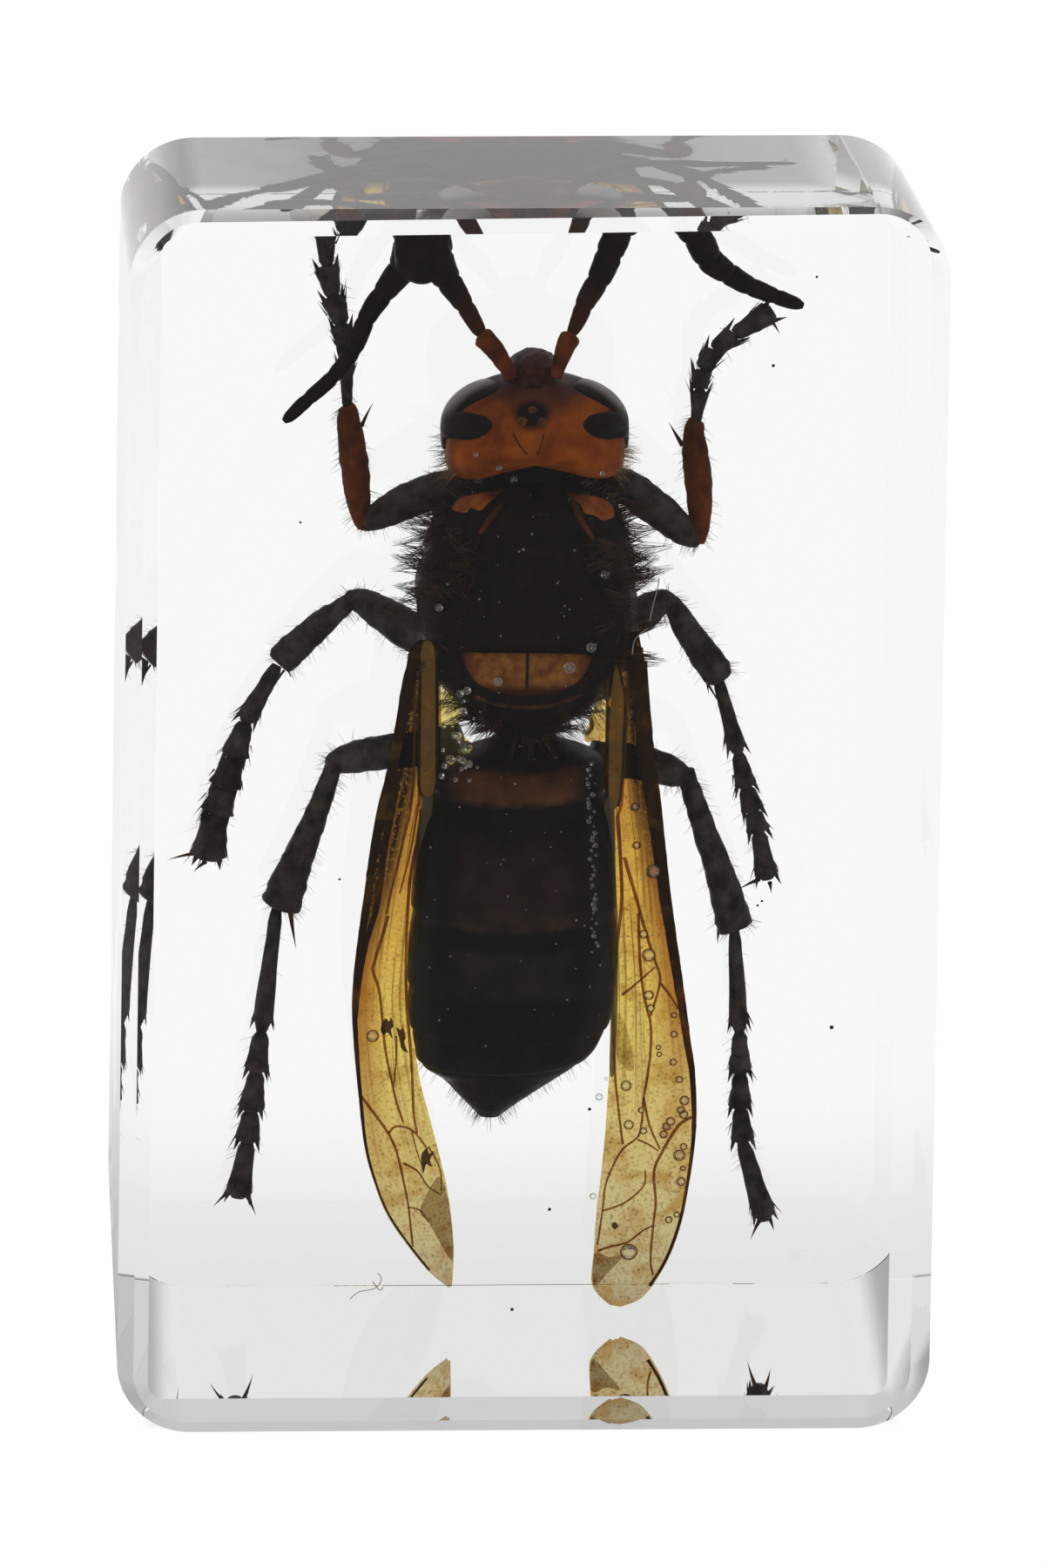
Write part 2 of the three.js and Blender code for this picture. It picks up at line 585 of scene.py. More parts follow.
def bodyRings(sections, fullness, sides=96, detail=None):
    rings = []
    for s in sections:
        ring = []
        for k in range(sides):
            turn = 2 * math.pi * k / sides
            x = s["x"] + s["half"] * signedPower(math.cos(turn), fullness)
            rise = signedPower(math.sin(turn), fullness)
            reach = s["middle"] - s["back"] if rise > 0 else s["belly"] - s["middle"]
            point = Vector((x, s["middle"] - reach * rise, s["z"]))
            if detail:
                point = detail(point, s)
            ring.append(point)
        rings.append(ring)
    return rings


thoraxSections = bodySections(thorax)
abdomenSections = bodySections(abdomen, 14)
seamZ = seenOnBack(thoraxSections, thorax["fullness"], 605, 750).z  # where the big back plate ends


def thoraxDetail(point, s):
    # the groove behind the big back plate, the two side furrows on it and an uneven, lumpy surface down the flanks
    if point.y < s["middle"]:
        groove = 0.34 * math.exp(-((point.z - seamZ) / 0.22) ** 2)
        for side in (-1, 1):
            line = s["x"] + side * (3.7 - 0.08 * abs(point.z - seamZ - 5))
            groove += 0.22 * math.exp(-((point.x - line) / 0.16) ** 2) * (point.z > seamZ)
        point.y += groove
    out = Vector((point.x - s["x"], point.y - s["middle"], 0)).normalized()
    flank = abs(out.x)
    wave = noise.noise(point * 0.5) * 0.25 + noise.noise(point * 2.1) * 0.06
    return point + out * wave * flank


def makeThorax():
    rings = bodyRings(thoraxSections, thorax["fullness"], 112, thoraxDetail)
    shape = newShape()
    addRings(shape, rings)
    makePiece("thorax", shape, blackCuticle)
    return rings, surfaceTree(rings)


def abdomenDetail(point, s):
    step = 0
    for y in abdomen["edges"]:
        edge = seenOnBack(abdomenSections, abdomen["fullness"], 590, y).z + 0.012 * (point.x - s["x"]) ** 2
        if point.z < edge:
            step -= abdomen["step"] * math.exp((point.z - edge) / 0.9)
        else:
            step -= abdomen["step"] * math.exp((edge - point.z) / 0.03)
    out = Vector((point.x - s["x"], point.y - s["middle"], 0))
    size = max(out.length, 0.01)
    return point + out / size * (step * min(size, 1) + 0.03 * noise.noise(point * 1.3))


abdomenBands = {
    "place": 590,
    "stops": [  # picture y on the back and the colour there
        (850, "#1c1612"),
        (884, "#241a14"),
        (893, "#744326"),
        (921, "#80502c"),
        (931, "#191614"),
        (960, "#1b1613"),
        (985, "#35221b"),
        (1045, "#3e2820"),
        (1058, "#4c3726"),
        (1068, "#4c3726"),
        (1076, "#141312"),
        (1092, "#151413"),
        (1100, "#2c2a22"),
        (1145, "#2c2a22"),
        (1158, "#15171a"),
        (1200, "#1c1c1e"),
        (1284, "#2c2824"),
    ],
}


def bandedCuticle():
    # Cuticle of the hind body: black plates with reddish brown bands showing through, dull and finely pitted.
    m, place, cloud, shader = cuticle("driedBandedCuticle", "#747474", "#ffffff", blotch=0.55)
    levels = [seenOnBack(abdomenSections, abdomen["fullness"], abdomenBands["place"], y).z
              for y, _ in abdomenBands["stops"]]
    parts = addNode(m, "ShaderNodeSeparateXYZ", links={"Vector": place})
    middleX = seen(abdomenBands["place"], 1000, 14).x
    side = addNode(m, "ShaderNodeMath", {"operation": "SUBTRACT", 1: middleX}, {0: parts.outputs["X"]})
    square = addNode(m, "ShaderNodeMath", {"operation": "MULTIPLY"}, {0: side.outputs[0], 1: side.outputs[0]})
    curve = addNode(m, "ShaderNodeMath", {"operation": "MULTIPLY_ADD", 1: -0.012}, {0: square.outputs[0], 2: parts.outputs["Z"]})
    ripple = addNode(m, "ShaderNodeTexNoise", {"Scale": 1.6, "Detail": 3.0}, {"Vector": place})
    wobble = addNode(m, "ShaderNodeMath", {"operation": "MULTIPLY_ADD", 1: 0.5}, {0: ripple.outputs["Fac"], 2: curve.outputs[0]})
    level = addNode(m, "ShaderNodeMapRange", {
        "From Min": levels[0] + 0.25, "From Max": levels[-1] + 0.25, "To Min": 0.0, "To Max": 1.0,
    }, {"Value": wobble.outputs[0]})
    stops = [((levels[0] - z) / (levels[0] - levels[-1]), colour)
             for z, (_, colour) in zip(levels, abdomenBands["stops"])]
    bands = addRamp(m, level.outputs["Result"], stops)
    flank = mapRange(m, addMath(m, "ABSOLUTE", side.outputs[0]), 2.2, 4.4)
    fading = addMix(m, flank, bands, "#171412")
    m.node_tree.links.new(addMix(m, 0.8, fading, cloud, "MULTIPLY"), shader.inputs["Base Color"])
    return m


def makeAbdomen():
    rings = bodyRings(abdomenSections, abdomen["fullness"], 96, abdomenDetail)
    shape = newShape()
    addRings(shape, rings)
    makePiece("abdomen", shape, bandedCuticle())
    return rings, surfaceTree(rings)


thoraxRings, thoraxTree = makeThorax()
abdomenRings, abdomenTree = makeAbdomen()
print("thorax and abdomen made")


def addPatch(shape, outline, height, rim=-0.04, steps=14, power=0.5, follow=True):
    # a domed plate on the back, inside a smooth outline of picture points
    edge = smoothRows(outline, 7, closed=True)
    centre = (sum(p[0] for p in edge) / len(edge), sum(p[1] for p in edge) / len(edge))
    rings = []
    for k in range(steps + 1):
        r = 1 - k / steps * 0.98
        ring = []
        for x, y in edge:
            at = centre[0] + (x - centre[0]) * r, centre[1] + (y - centre[1]) * r
            point = seenOn(thoraxTree, *at)[0] if follow else seenOnBack(thoraxSections, thorax["fullness"], *at)
            point.y -= rim + height * (1 - r ** 2) ** power
            ring.append(point)
        rings.append(ring)
    addRings(shape, rings)


# The head: wider than long, its face turned down into the block.
head = {
    "middle": (614, 487),  # picture point of its middle
    "depth": 14.6,
    "half": (4.95, 5.0, 2.98),  # half its width, depth and length
    "back": 1.02,  # how much longer it is behind its middle
    "hollow": 1.0,  # the hollow at the neck
    "eye": [  # degrees round the side, from the front over the top, and how far the eye reaches
        (0, 62), (10, 65), (20, 68), (28, 65), (33, 58), (38, 46), (43, 37), (48, 38), (54, 48), (60, 57), (72, 62), (84, 56),
        (93, 46), (100, 28), (112, 14), (130, 8), (155, 5), (185, 4), (215, 7), (240, 16), (265, 36), (290, 54),
        (315, 60), (340, 58),
    ],
    "eyeBulge": 0.24,
}
headMiddle = seen(*head["middle"], head["depth"])

plates = {
    "scutellum": [(531, 751), (560, 750), (605, 750), (650, 751), (679, 754), (672, 775), (650, 793), (605, 800),
                  (562, 794), (538, 776)],
    "scutellumHeight": 0.55,
    "collarLeft": [(519, 585), (521, 576), (534, 569), (548, 566), (564, 564), (580, 561), (570, 570), (561, 578), (552, 586),
                   (541, 584), (533, 589)],
    "collarRight": [(705, 593), (703, 581), (694, 573), (680, 569), (664, 567), (648, 563), (656, 572), (666, 579),
                    (671, 589), (682, 592), (692, 598)],
    "streakLeft": [(575, 576), (581, 576), (566, 598), (553, 613), (549, 612), (560, 594)],
    "streakRight": [(655, 577), (661, 576), (672, 600), (683, 618), (680, 620), (665, 600)],
}


def plateCuticle():
    # Cuticle of the small plate behind the back: orange brown, its look of being lit from inside painted into the
    # colour.
    m, place, colour, shader = cuticle("driedScutellumCuticle", "#7c4a1c", "#bd7a38", blotch=1.5)
    middle = seenOnBack(thoraxSections, thorax["fullness"], 605, 775)
    parts = addNode(m, "ShaderNodeSeparateXYZ", links={"Vector": place})
    side = addNode(m, "ShaderNodeMath", {"operation": "SUBTRACT", 1: middle.x}, {0: parts.outputs["X"]})
    away = addNode(m, "ShaderNodeMath", {"operation": "ABSOLUTE"}, {0: side.outputs[0]})
    line = mapRange(m, away.outputs[0], 0.03, 0.16)
    withLine = addMix(m, line, "#241710", colour)
    # painted shade, partly the plate's own darker rim: darker at its sides and along its lower edge, where the dome
    # turns away
    edge = mapRange(m, away.outputs[0], 2.3, 3.5)
    low = mapRange(m, parts.outputs["Z"], middle.z - 0.35, middle.z - 1.0)
    shadedRimColour = addMix(m, low, addMix(m, edge, withLine, "#6a3216"), "#4a230f")
    m.node_tree.links.new(shadedRimColour, shader.inputs["Base Color"])
    return m


def markCuticle(name, dark, light):
    # Cuticle of the marks behind the head: orange brown that fades out towards the middle of the back.
    m, place, colour, shader = cuticle(name, dark, light, blotch=0.8)
    parts = addNode(m, "ShaderNodeSeparateXYZ", links={"Vector": place})
    aside = addMath(m, "ABSOLUTE", addMath(m, "SUBTRACT", parts.outputs["X"], headMiddle.x))
    outward = mapRange(m, aside, 1.4, 3.3)
    m.node_tree.links.new(addMix(m, outward, "#2c160a", colour), shader.inputs["Base Color"])
    return m


def makePlates():
    shape = newShape()
    addPatch(shape, plates["scutellum"], plates["scutellumHeight"], follow=False)
    makePiece("scutellum", shape, plateCuticle())
    shape = newShape()
    for name in ("collarLeft", "collarRight"):
        addPatch(shape, plates[name], 0.1, rim=0.02, steps=8)
    makePiece("collarMarks", shape, markCuticle("driedOrangeMark", "#9a4814", "#d87f34"))
    shape = newShape()
    for name in ("streakLeft", "streakRight"):
        addPatch(shape, plates[name], 0.1, rim=0.02, steps=8)
    makePiece("backStreaks", shape, markCuticle("driedDimMark", "#6a3216", "#844420"))
    shape = newShape()
    arc = [(545, 800), (575, 809), (605, 812), (640, 808), (668, 797)]
    path = [(seenOnBack(thoraxSections, thorax["fullness"], x, y) + Vector((0, -0.05, 0)), 0.13)
            for x, y in smoothRows(arc, 8)]
    addRings(shape, tubeRings(path, 10))
    makePiece("metanotum", shape, brownCuticle)


makePlates()
print("plates made")


def headPoint(side, reach, turn, lift=0.0):
    # reach is degrees from the side of the head, turn is degrees round it from the front over the top
    a, b = math.radians(reach), math.radians(turn)
    backness = max(0.0, -math.cos(b))
    boxy = 1 - 0.7 * backness ** 0.8
    ring, x = math.sin(a) ** boxy, math.copysign(abs(math.cos(a)) ** boxy, math.cos(a)) * head["half"][0] * side
    forward = head["half"][2] * ring * math.cos(b) * (head["back"] if math.cos(b) < 0 else 1)
    forward += head["hollow"] * math.exp(-(x / 2.4) ** 2) * backness * ring
    down = -head["half"][1] * ring * math.copysign(abs(math.sin(b)) ** (1 - 0.3 * backness), math.sin(b))
    out = Vector((x / head["half"][0] ** 2, down / head["half"][1] ** 2, forward / head["half"][2] ** 2)).normalized()
    return headMiddle + Vector((x, down, forward)) + out * lift


def headCuticle(tree):
    # Cuticle of the head: orange brown and finely grained, dark round the simple eyes and towards the face.
    m, place, colour, shader = cuticle("driedHeadCuticle", "#8a3c08", "#c46416", blotch=0.7, pit=9.0, depth=0.02)
    parts = addNode(m, "ShaderNodeSeparateXYZ", links={"Vector": place})
    patchPlace, _ = seenOn(tree, 611, 475)
    offset = addNode(m, "ShaderNodeVectorMath", {"operation": "DISTANCE", 1: tuple(patchPlace)}, {0: place})
    near = mapRange(m, offset.outputs["Value"], 0.6, 1.3)
    frontness = mapRange(m, parts.outputs["Z"], seenOn(tree, 612, 470)[0].z, seenOn(tree, 612, 443)[0].z)
    aside = addMath(m, "ABSOLUTE", addMath(m, "SUBTRACT", parts.outputs["X"], headMiddle.x))
    high = mapRange(m, parts.outputs["Z"], seenOn(tree, 612, 480)[0].z, seenOn(tree, 612, 465)[0].z)
    frons = addMath(m, "MULTIPLY", high, mapRange(m, aside, 2.3, 1.3, 0.0, 0.85))
    browned = addMix(m, frons, addMix(m, frontness, colour, "#2a140a"), "#5c2c18")
    m.node_tree.links.new(addMix(m, near, "#1a0d06", browned), shader.inputs["Base Color"])
    return m


def eyeCuticle():
    # Compound eye, dried: near black under a clear horny layer, with a painted grey highlight along its upper outer
    # rim.
    m, place, colour, shader = cuticle("driedCompoundEye", "#171311", "#231d1a", pit=16.0, roughness=0.3, depth=0.012)
    rise = Vector((0, math.sin(math.radians(12.7)), math.cos(math.radians(12.7)))) / 3.1
    up = addNode(m, "ShaderNodeVectorMath", {"operation": "DOT_PRODUCT", 1: tuple(rise)}, {0: place})
    high = addMath(m, "SUBTRACT", up.outputs["Value"], headMiddle.dot(rise))
    parts = addNode(m, "ShaderNodeSeparateXYZ", links={"Vector": place})
    aside = addMath(m, "DIVIDE", addMath(m, "SUBTRACT", parts.outputs["X"], headMiddle.x), head["half"][0])
    reach = addMath(m, "SQRT", addMath(m, "MULTIPLY_ADD", high, high, addMath(m, "MULTIPLY", aside, aside)))
    # painted highlight: the rim greys further out from the head's middle as seen and higher up, standing in for the
    # bright background seen through and off the clear layer at the edge
    edge = mapRange(m, addMath(m, "MULTIPLY_ADD", high, 0.1, reach), 0.92, 1.1)
    rim = addMath(m, "MULTIPLY", edge, mapRange(m, high, 0.02, 0.42))
    m.node_tree.links.new(addMix(m, rim, colour, "#bab4aa"), shader.inputs["Base Color"])
    return m


def makeHead():
    shape = newShape()
    rings = []
    for k in range(1, 64):
        rings.append([headPoint(1, 180 * k / 64, 360 * i / 96) for i in range(96)])
    addRings(shape, rings)
    tree = surfaceTree(rings)
    makePiece("head", shape, headCuticle(tree))
    eyes = newShape()
    for side in (-1, 1):
        reach = [(r,) for _, r in head["eye"]]
        turns = [t for t, _ in head["eye"]]
        outline = []
        for i, (t, r) in enumerate(head["eye"]):
            nextTurn = turns[(i + 1) % len(turns)] + (360 if i == len(turns) - 1 else 0)
            for step, (value,) in enumerate(smoothRows(reach, 8, closed=True)[i * 8:i * 8 + 8]):
                outline.append((t + (nextTurn - t) * step / 8, value))
        rows = []
        for k in range(17):
            r = 1 - k / 16 * 0.99
            lift = -0.06 + (head["eyeBulge"] + 0.06) * (1 - r ** 2.6) ** 0.55
            rows.append([headPoint(side, value * r, t, lift) for t, value in outline])
        addRings(eyes, rows)
    makePiece("compoundEyes", eyes, eyeCuticle())
    return rings, tree


headRings, headTree = makeHead()


def addDome(shape, middle, radius, up, height, sides=16, steps=6):
    across = up.orthogonal().normalized()
    other = up.cross(across)
    rings = []
    for k in range(steps + 1):
        r = math.cos(k / steps * math.pi / 2 * 0.97)
        h = math.sin(k / steps * math.pi / 2 * 0.97)
        rings.append([
            middle + (across * math.cos(2 * math.pi * i / sides) + other * math.sin(2 * math.pi * i / sides)) * radius * r
            + up * height * h for i in range(sides)
        ])
    addRings(shape, rings)


faceParts = {
    "ocelli": [(611, 471, 11), (600, 484, 12), (623, 485, 12)],
    "browLines": [[(589, 498), (595, 509), (605, 522)], [(624, 499), (622, 510), (617, 522)]],
    "clypeus": [(613, 462, 12.6, 40), (612, 446, 13.6, 62), (612, 434, 15.2, 66), (611, 431, 17.0, 62),
                (611, 440, 18.6, 46), (611, 452, 19.6, 26)],
    "mandibleLeft": [(570, 470, 18.6, 44), (572, 458, 19.6, 40), (590, 447, 20.4, 30), (610, 446, 20.8, 12)],
    "mandibleRight": [(652, 470, 18.6, 44), (650, 458, 19.6, 40), (632, 447, 20.3, 30), (613, 445, 20.6, 12)],
}


def makeFace():
    shape = newShape()
    for x, y, width in faceParts["ocelli"]:
        middle, up = seenOn(headTree, x, y, -0.03)
        addDome(shape, middle, width / 2 / picture["pixelsPerMm"], up, 0.2)
    lines = newShape()
    for line in faceParts["browLines"]:
        path = [(seenOn(headTree, x, y, -0.02)[0], 0.05) for x, y in smoothRows(line, 6)]
        addRings(lines, tubeRings(path, 8))
    makePiece("browLines", lines, brownCuticle)
    makePiece("simpleEyes", shape, cuticle("driedSimpleEye", "#4e2c12", "#8a5626", blotch=4, pit=2, roughness=0.2)[0])
    shape = newShape()
    addLimb(shape, faceParts["clypeus"], sides=36, perSpan=8, rough=0.1)
    makePiece("clypeus", shape, cuticle("driedFaceCuticle", "#2e1710", "#5c3020", blotch=2.4, pit=5.0, depth=0.06)[0])
    shape = newShape()
    for name in ("mandibleLeft", "mandibleRight"):
        addLimb(shape, faceParts[name], sides=20, perSpan=8, flat=0.7)
    makePiece("mandibles", shape, brownCuticle)
    shape = newShape()
    addLimb(shape, [(612, 512, 14.5, 70), (612, 535, 14.8, 88), (612, 556, 15.0, 100)], sides=32)
    makePiece("neck", shape, blackCuticle)


makeFace()
print("head made")

antennae = {
    "scapes": [
        [(587, 436, 12.6, 15), (583, 424, 12.8, 17), (570, 405, 13.2, 22), (557, 389, 13.6, 25), (552, 384, 13.7, 17)],
        [(639, 434, 12.6, 14), (642, 420, 12.8, 17), (648, 402, 13.2, 22), (654, 388, 13.6, 24), (656, 384, 13.7, 15)],
    ],
    "flagella": [
        [(553, 384, 13.7, 14), (547, 374, 13.9, 18), (533, 350, 14.4, 23), (516, 324, 15.4, 31), (503, 302, 16.2, 40),
         (498, 280, 16.6, 43), (492, 262, 16.8, 44), (483, 254, 17.1, 44), (474, 264, 17.4, 44), (472, 282, 17.5, 42),
         (465, 304, 17.8, 38), (447, 328, 18.1, 29),
         (423, 362, 18.6, 23), (405, 403, 18.6, 20), (381, 434, 18.4, 18), (351, 461, 18.2, 17), (333, 478, 18.1, 14),
         (326, 484, 18.1, 8)],
        [(656, 384, 13.7, 13), (663, 370, 13.9, 18), (674, 344, 14.5, 24), (690, 316, 15.2, 29), (703, 284, 15.8, 33),
         (714, 262, 16.2, 33), (742, 246, 16.6, 32), (780, 252, 17.2, 32), (803, 276, 17.8, 34), (815, 298, 18.4, 32),
         (836, 314, 19.0, 27), (862, 329, 19.6, 23), (892, 341, 20.2, 19), (912, 348, 20.5, 16), (922, 351, 20.6, 9)],
    ],
    "bend": [(485, 256, 15.8, 64), (485, 280, 15.8, 64), (485, 297, 15.8, 64), (485, 311, 16.0, 52), (485, 319, 16.3, 34),
             (485, 323, 16.5, 12)],
    "joints": 12,
}


def flagellumRings(rows):
    path = limbPath(rows, 12)
    lengths = [0.0]
    for (a, _), (b, _) in zip(path, path[1:]):
        lengths.append(lengths[-1] + (b - a).length)
    ringed = []
    for (point, radius), s in zip(path, lengths):
        phase = s / lengths[-1] * antennae["joints"] % 1
        ringed.append((point, radius * (1 - 0.13 * math.exp(-(min(phase, 1 - phase) / 0.09) ** 2))))
    return tubeRings(ringed, 20, rough=0.05)


def antennaCuticle():
    # Cuticle of the feelers: orange brown at the root, passing to black along the whip.
    m, place, colour, shader = cuticle("driedAntennaCuticle", "#15110f", "#2a1e19", blotch=1.0)
    root = seen(612, 430, 12.6)
    away = addNode(m, "ShaderNodeVectorMath", {"operation": "DISTANCE", 1: tuple(root)}, {0: place})
    far = mapRange(m, away.outputs["Value"], 3.6, 7.0)
    m.node_tree.links.new(addMix(m, far, "#4a2412", colour), shader.inputs["Base Color"])
    return m


def makeAntennae():
    shape = newShape()
    for rows in antennae["flagella"]:
        addRings(shape, flagellumRings(rows))
    addLimb(shape, antennae["bend"], sides=28, flat=0.6)
    makePiece("antennaWhips", shape, antennaCuticle())
    shape = newShape()
    for rows in antennae["scapes"]:
        addLimb(shape, rows, sides=20, rough=0.12)
    makePiece("antennaRoots", shape, orangeLeg)


makeAntennae()
print("antennae made")

# Each leg: rows of picture x, picture y, depth and width for the thigh and shin, and the joints of the foot.
legs = {
    "foreLeft": {
        "thigh": [(560, 580, 16.5, 44), (520, 560, 17.4, 42), (476, 572, 18.2, 43), (440, 590, 18.7, 36), (420, 600, 18.9, 22), (412, 600, 18.9, 10)],
        "shin": [(420, 604, 18.9, 20), (414, 590, 18.9, 24), (410, 560, 19.0, 31), (406, 525, 19.1, 33), (401, 490, 19.2, 28), (399, 470, 19.3, 22), (398, 466, 19.3, 14)],
        "foot": [(399, 470, 19.3, 14), (397, 412, 19.5, 18), (392, 372, 19.6, 26), (382, 340, 19.7, 30), (375, 305, 19.8, 30), (374, 262, 19.9, 26)],
        "spurs": [((415, 490), (427, 460), 5)],
        "claws": [((370, 262), (362, 248)), ((378, 262), (386, 250))],
    },
    "foreRight": {
        "thigh": [(670, 580, 16.5, 44), (712, 558, 17.4, 42), (748, 580, 18.0, 42), (780, 606, 18.5, 36), (798, 620, 18.8, 22), (804, 624, 18.8, 10)],
        "shin": [(799, 622, 18.8, 20), (803, 604, 18.8, 25), (803, 570, 18.9, 30), (800, 535, 19.0, 32), (797, 505, 19.1, 27), (798, 486, 19.2, 20), (799, 482, 19.2, 13)],
        "foot": [(799, 486, 19.2, 14), (804, 447, 19.3, 20), (806, 424, 19.4, 24), (820, 402, 19.5, 26), (843, 384, 19.6, 28), (888, 357, 19.8, 30)],
        "spurs": [((784, 512), (766, 483), 6)],
        "claws": [((884, 366), (896, 380)), ((880, 354), (884, 343))],
    },
    "midLeft": {
        "thigh": [(520, 725, 16.5, 50), (480, 728, 17.6, 48), (445, 708, 18.9, 42), (418, 692, 19.9, 32), (404, 686, 20.3, 20),
                  (398, 686, 20.4, 10)],
        "shin": [(404, 688, 20.3, 18), (391, 699, 20.9, 24), (370, 715, 21.8, 31), (348, 735, 22.5, 35), (328, 754, 22.8, 37),
                 (320, 762, 22.8, 30)],
        "foot": [(318, 764, 22.8, 18), (281, 830, 22.6, 26), (268, 872, 22.4, 33), (257, 906, 22.2, 40), (248, 936, 22.0, 42),
                 (238, 988, 21.9, 44)],
        "spurs": [((330, 764), (332, 776), 4), ((326, 770), (305, 800), 3)],
        "claws": [((226, 980), (192, 984)), ((236, 990), (222, 998))],
    },
    "midRight": {
        "thigh": [(695, 715, 16.5, 48), (733, 706, 17.0, 44), (750, 696, 17.5, 36), (763, 688, 17.9, 26), (768, 687, 18.0, 14)],
        "shin": [(760, 684, 18.0, 18), (772, 694, 18.2, 22), (786, 718, 18.6, 30), (805, 746, 19.0, 35), (822, 770, 19.4, 37), (828, 778, 19.5, 30)],
        "foot": [(824, 778, 19.5, 16), (848, 866, 20.1, 22), (857, 905, 20.4, 26), (865, 932, 20.6, 28), (871, 956, 20.8, 28), (881, 1010, 21.0, 28)],
        "spurs": [((812, 780), (812, 796), 4), ((812, 784), (832, 818), 3)],
        "claws": [((872, 1010), (848, 1018)), ((884, 1014), (886, 1022))],
    },
    "hindLeft": {
        "thigh": [(530, 850, 16.8, 42), (480, 860, 17.2, 42), (440, 864, 17.5, 41), (405, 870, 18.4, 38), (384, 876, 18.8, 26), (377, 880, 18.9, 12)],
        "shin": [(385, 874, 18.8, 20), (378, 895, 19.2, 22), (364, 933, 20.0, 27), (345, 980, 21.0, 35), (330, 1018, 21.3, 44),
                 (323, 1038, 21.3, 46), (321, 1043, 21.3, 34)],
        "foot": [(318, 1040, 21.4, 18), (300, 1186, 21.8, 24), (294, 1232, 21.9, 29), (288, 1277, 22.0, 31),
                 (284, 1312, 22.1, 31), (273, 1376, 22.2, 31)],
        "spurs": [((333, 1044), (338, 1088), 7)],
        "claws": [((264, 1368), (245, 1382)), ((284, 1374), (294, 1392))],
    },
    "hindRight": {
        "thigh": [(680, 870, 16.8, 42), (720, 874, 17.2, 42), (752, 880, 17.5, 40), (775, 888, 17.8, 34), (790, 893, 18.0, 20), (795, 894, 18.0, 10)],
        "shin": [(787, 886, 18.0, 20), (793, 905, 18.2, 23), (807, 948, 18.7, 27), (824, 995, 19.3, 33), (838, 1040, 19.8, 40), (843, 1062, 20.0, 42), (845, 1068, 20.0, 32)],
        "foot": [(843, 1066, 20.1, 17), (849, 1186, 20.6, 23), (850, 1234, 20.8, 27), (850, 1274, 20.9, 28), (853, 1312, 21.0, 28), (879, 1402, 21.1, 28)],
        "spurs": [((826, 1066), (822, 1082), 5)],
        "claws": [((872, 1402), (862, 1420)), ((884, 1400), (889, 1410))],
    },
}
footHairs = {"perJoint": 12, "length": 0.95, "radius": 0.04, "lobe": 1.6}


def addFoot(feet, hairs, rows, rng):
    # five joints, each wider at its far end with a ring of spines there
    rings = []
    for (ax, ay, ad, aw), (bx, by, bd, bw) in zip(rows, rows[1:]):
        steps = 8
        path = []
        for k in range(steps + 1):
            t = k / steps
            width = 1.08 * bw * (0.6 + 0.4 * t ** 1.5)
            width *= 1 - 0.55 * max(0.0, (t - 0.9) / 0.1) - 0.3 * max(0.0, (0.08 - t) / 0.08)
            path.append((seen(ax + (bx - ax) * t, ay + (by - ay) * t, ad + (bd - ad) * t), width / 2 / picture["pixelsPerMm"]))
        part = tubeRings(path, 14, 0.8, 0.12)
        addRings(feet, part)
        rings += part
        along = (path[-1][0] - path[0][0]).normalized()
        across = along.cross(Vector((0, 1, 0))).normalized()
        end, radius = path[-2]
        for side in (-1, 1):
            start = end - along * 0.9 + across * side * radius * 0.25
            addSpike(feet, start, (along + across * side * 0.36).normalized(), footHairs["lobe"], radius * 0.5,
                     along * 0.2, steps=6, sides=10)
        for n in range(footHairs["perJoint"]):
            turn = rng.uniform(0, 2 * math.pi)
            out = across * math.cos(turn) + along.cross(across) * math.sin(turn)
            start = end - along * rng.uniform(0, 0.9) + out * radius * rng.uniform(0.7, 0.9)
            way = (along + out * rng.uniform(0.15, 0.6)).normalized()
            addSpike(hairs, start, way, footHairs["length"] * rng.uniform(0.5, 1.2), footHairs["radius"] * rng.uniform(0.7, 1.5))
    return rings


def picturePoint(point, depth):
    return seen(point[0], point[1], depth)


def makeLegs():
    rng = random.Random(11)
    thighs, shins, foreShins, feet, spines, claws = (newShape() for _ in range(6))
    rings = {}
    for name, leg in legs.items():
        rings[name] = [
            addLimb(thighs, leg["thigh"], sides=24, rough=0.1),
            addLimb(foreShins if name.startswith("fore") else shins, leg["shin"], sides=22, rough=0.12),
            addFoot(feet, spines, leg["foot"], rng),
        ]
        footDepth = leg["foot"][-1][2]
        for root, end, width in leg["spurs"]:
            depth = leg["shin"][-1][2]
            a, b = picturePoint(root, depth), picturePoint(end, depth + 0.3)
            addSpike(claws, a, (b - a).normalized(), (b - a).length, width / 2 / picture["pixelsPerMm"],
                     Vector((0.1, 0, -0.1)), steps=6, sides=8)
        for root, end in leg["claws"]:
            a, b = picturePoint(root, footDepth), picturePoint(end, footDepth + 0.4)
            addSpike(claws, a, (b - a).normalized(), (b - a).length, 0.13, Vector((0, 0.2, -0.25)), steps=6, sides=8)
    makePiece("legThighs", thighs, legCuticle)
    makePiece("legShins", shins, legCuticle)
    makePiece("foreShins", foreShins, orangeLeg)
    makePiece("feet", feet, legCuticle)
    makePiece("footSpines", spines, legCuticle)
    makePiece("claws", claws, brownCuticle)
    return rings


legRings = makeLegs()
print("legs made")

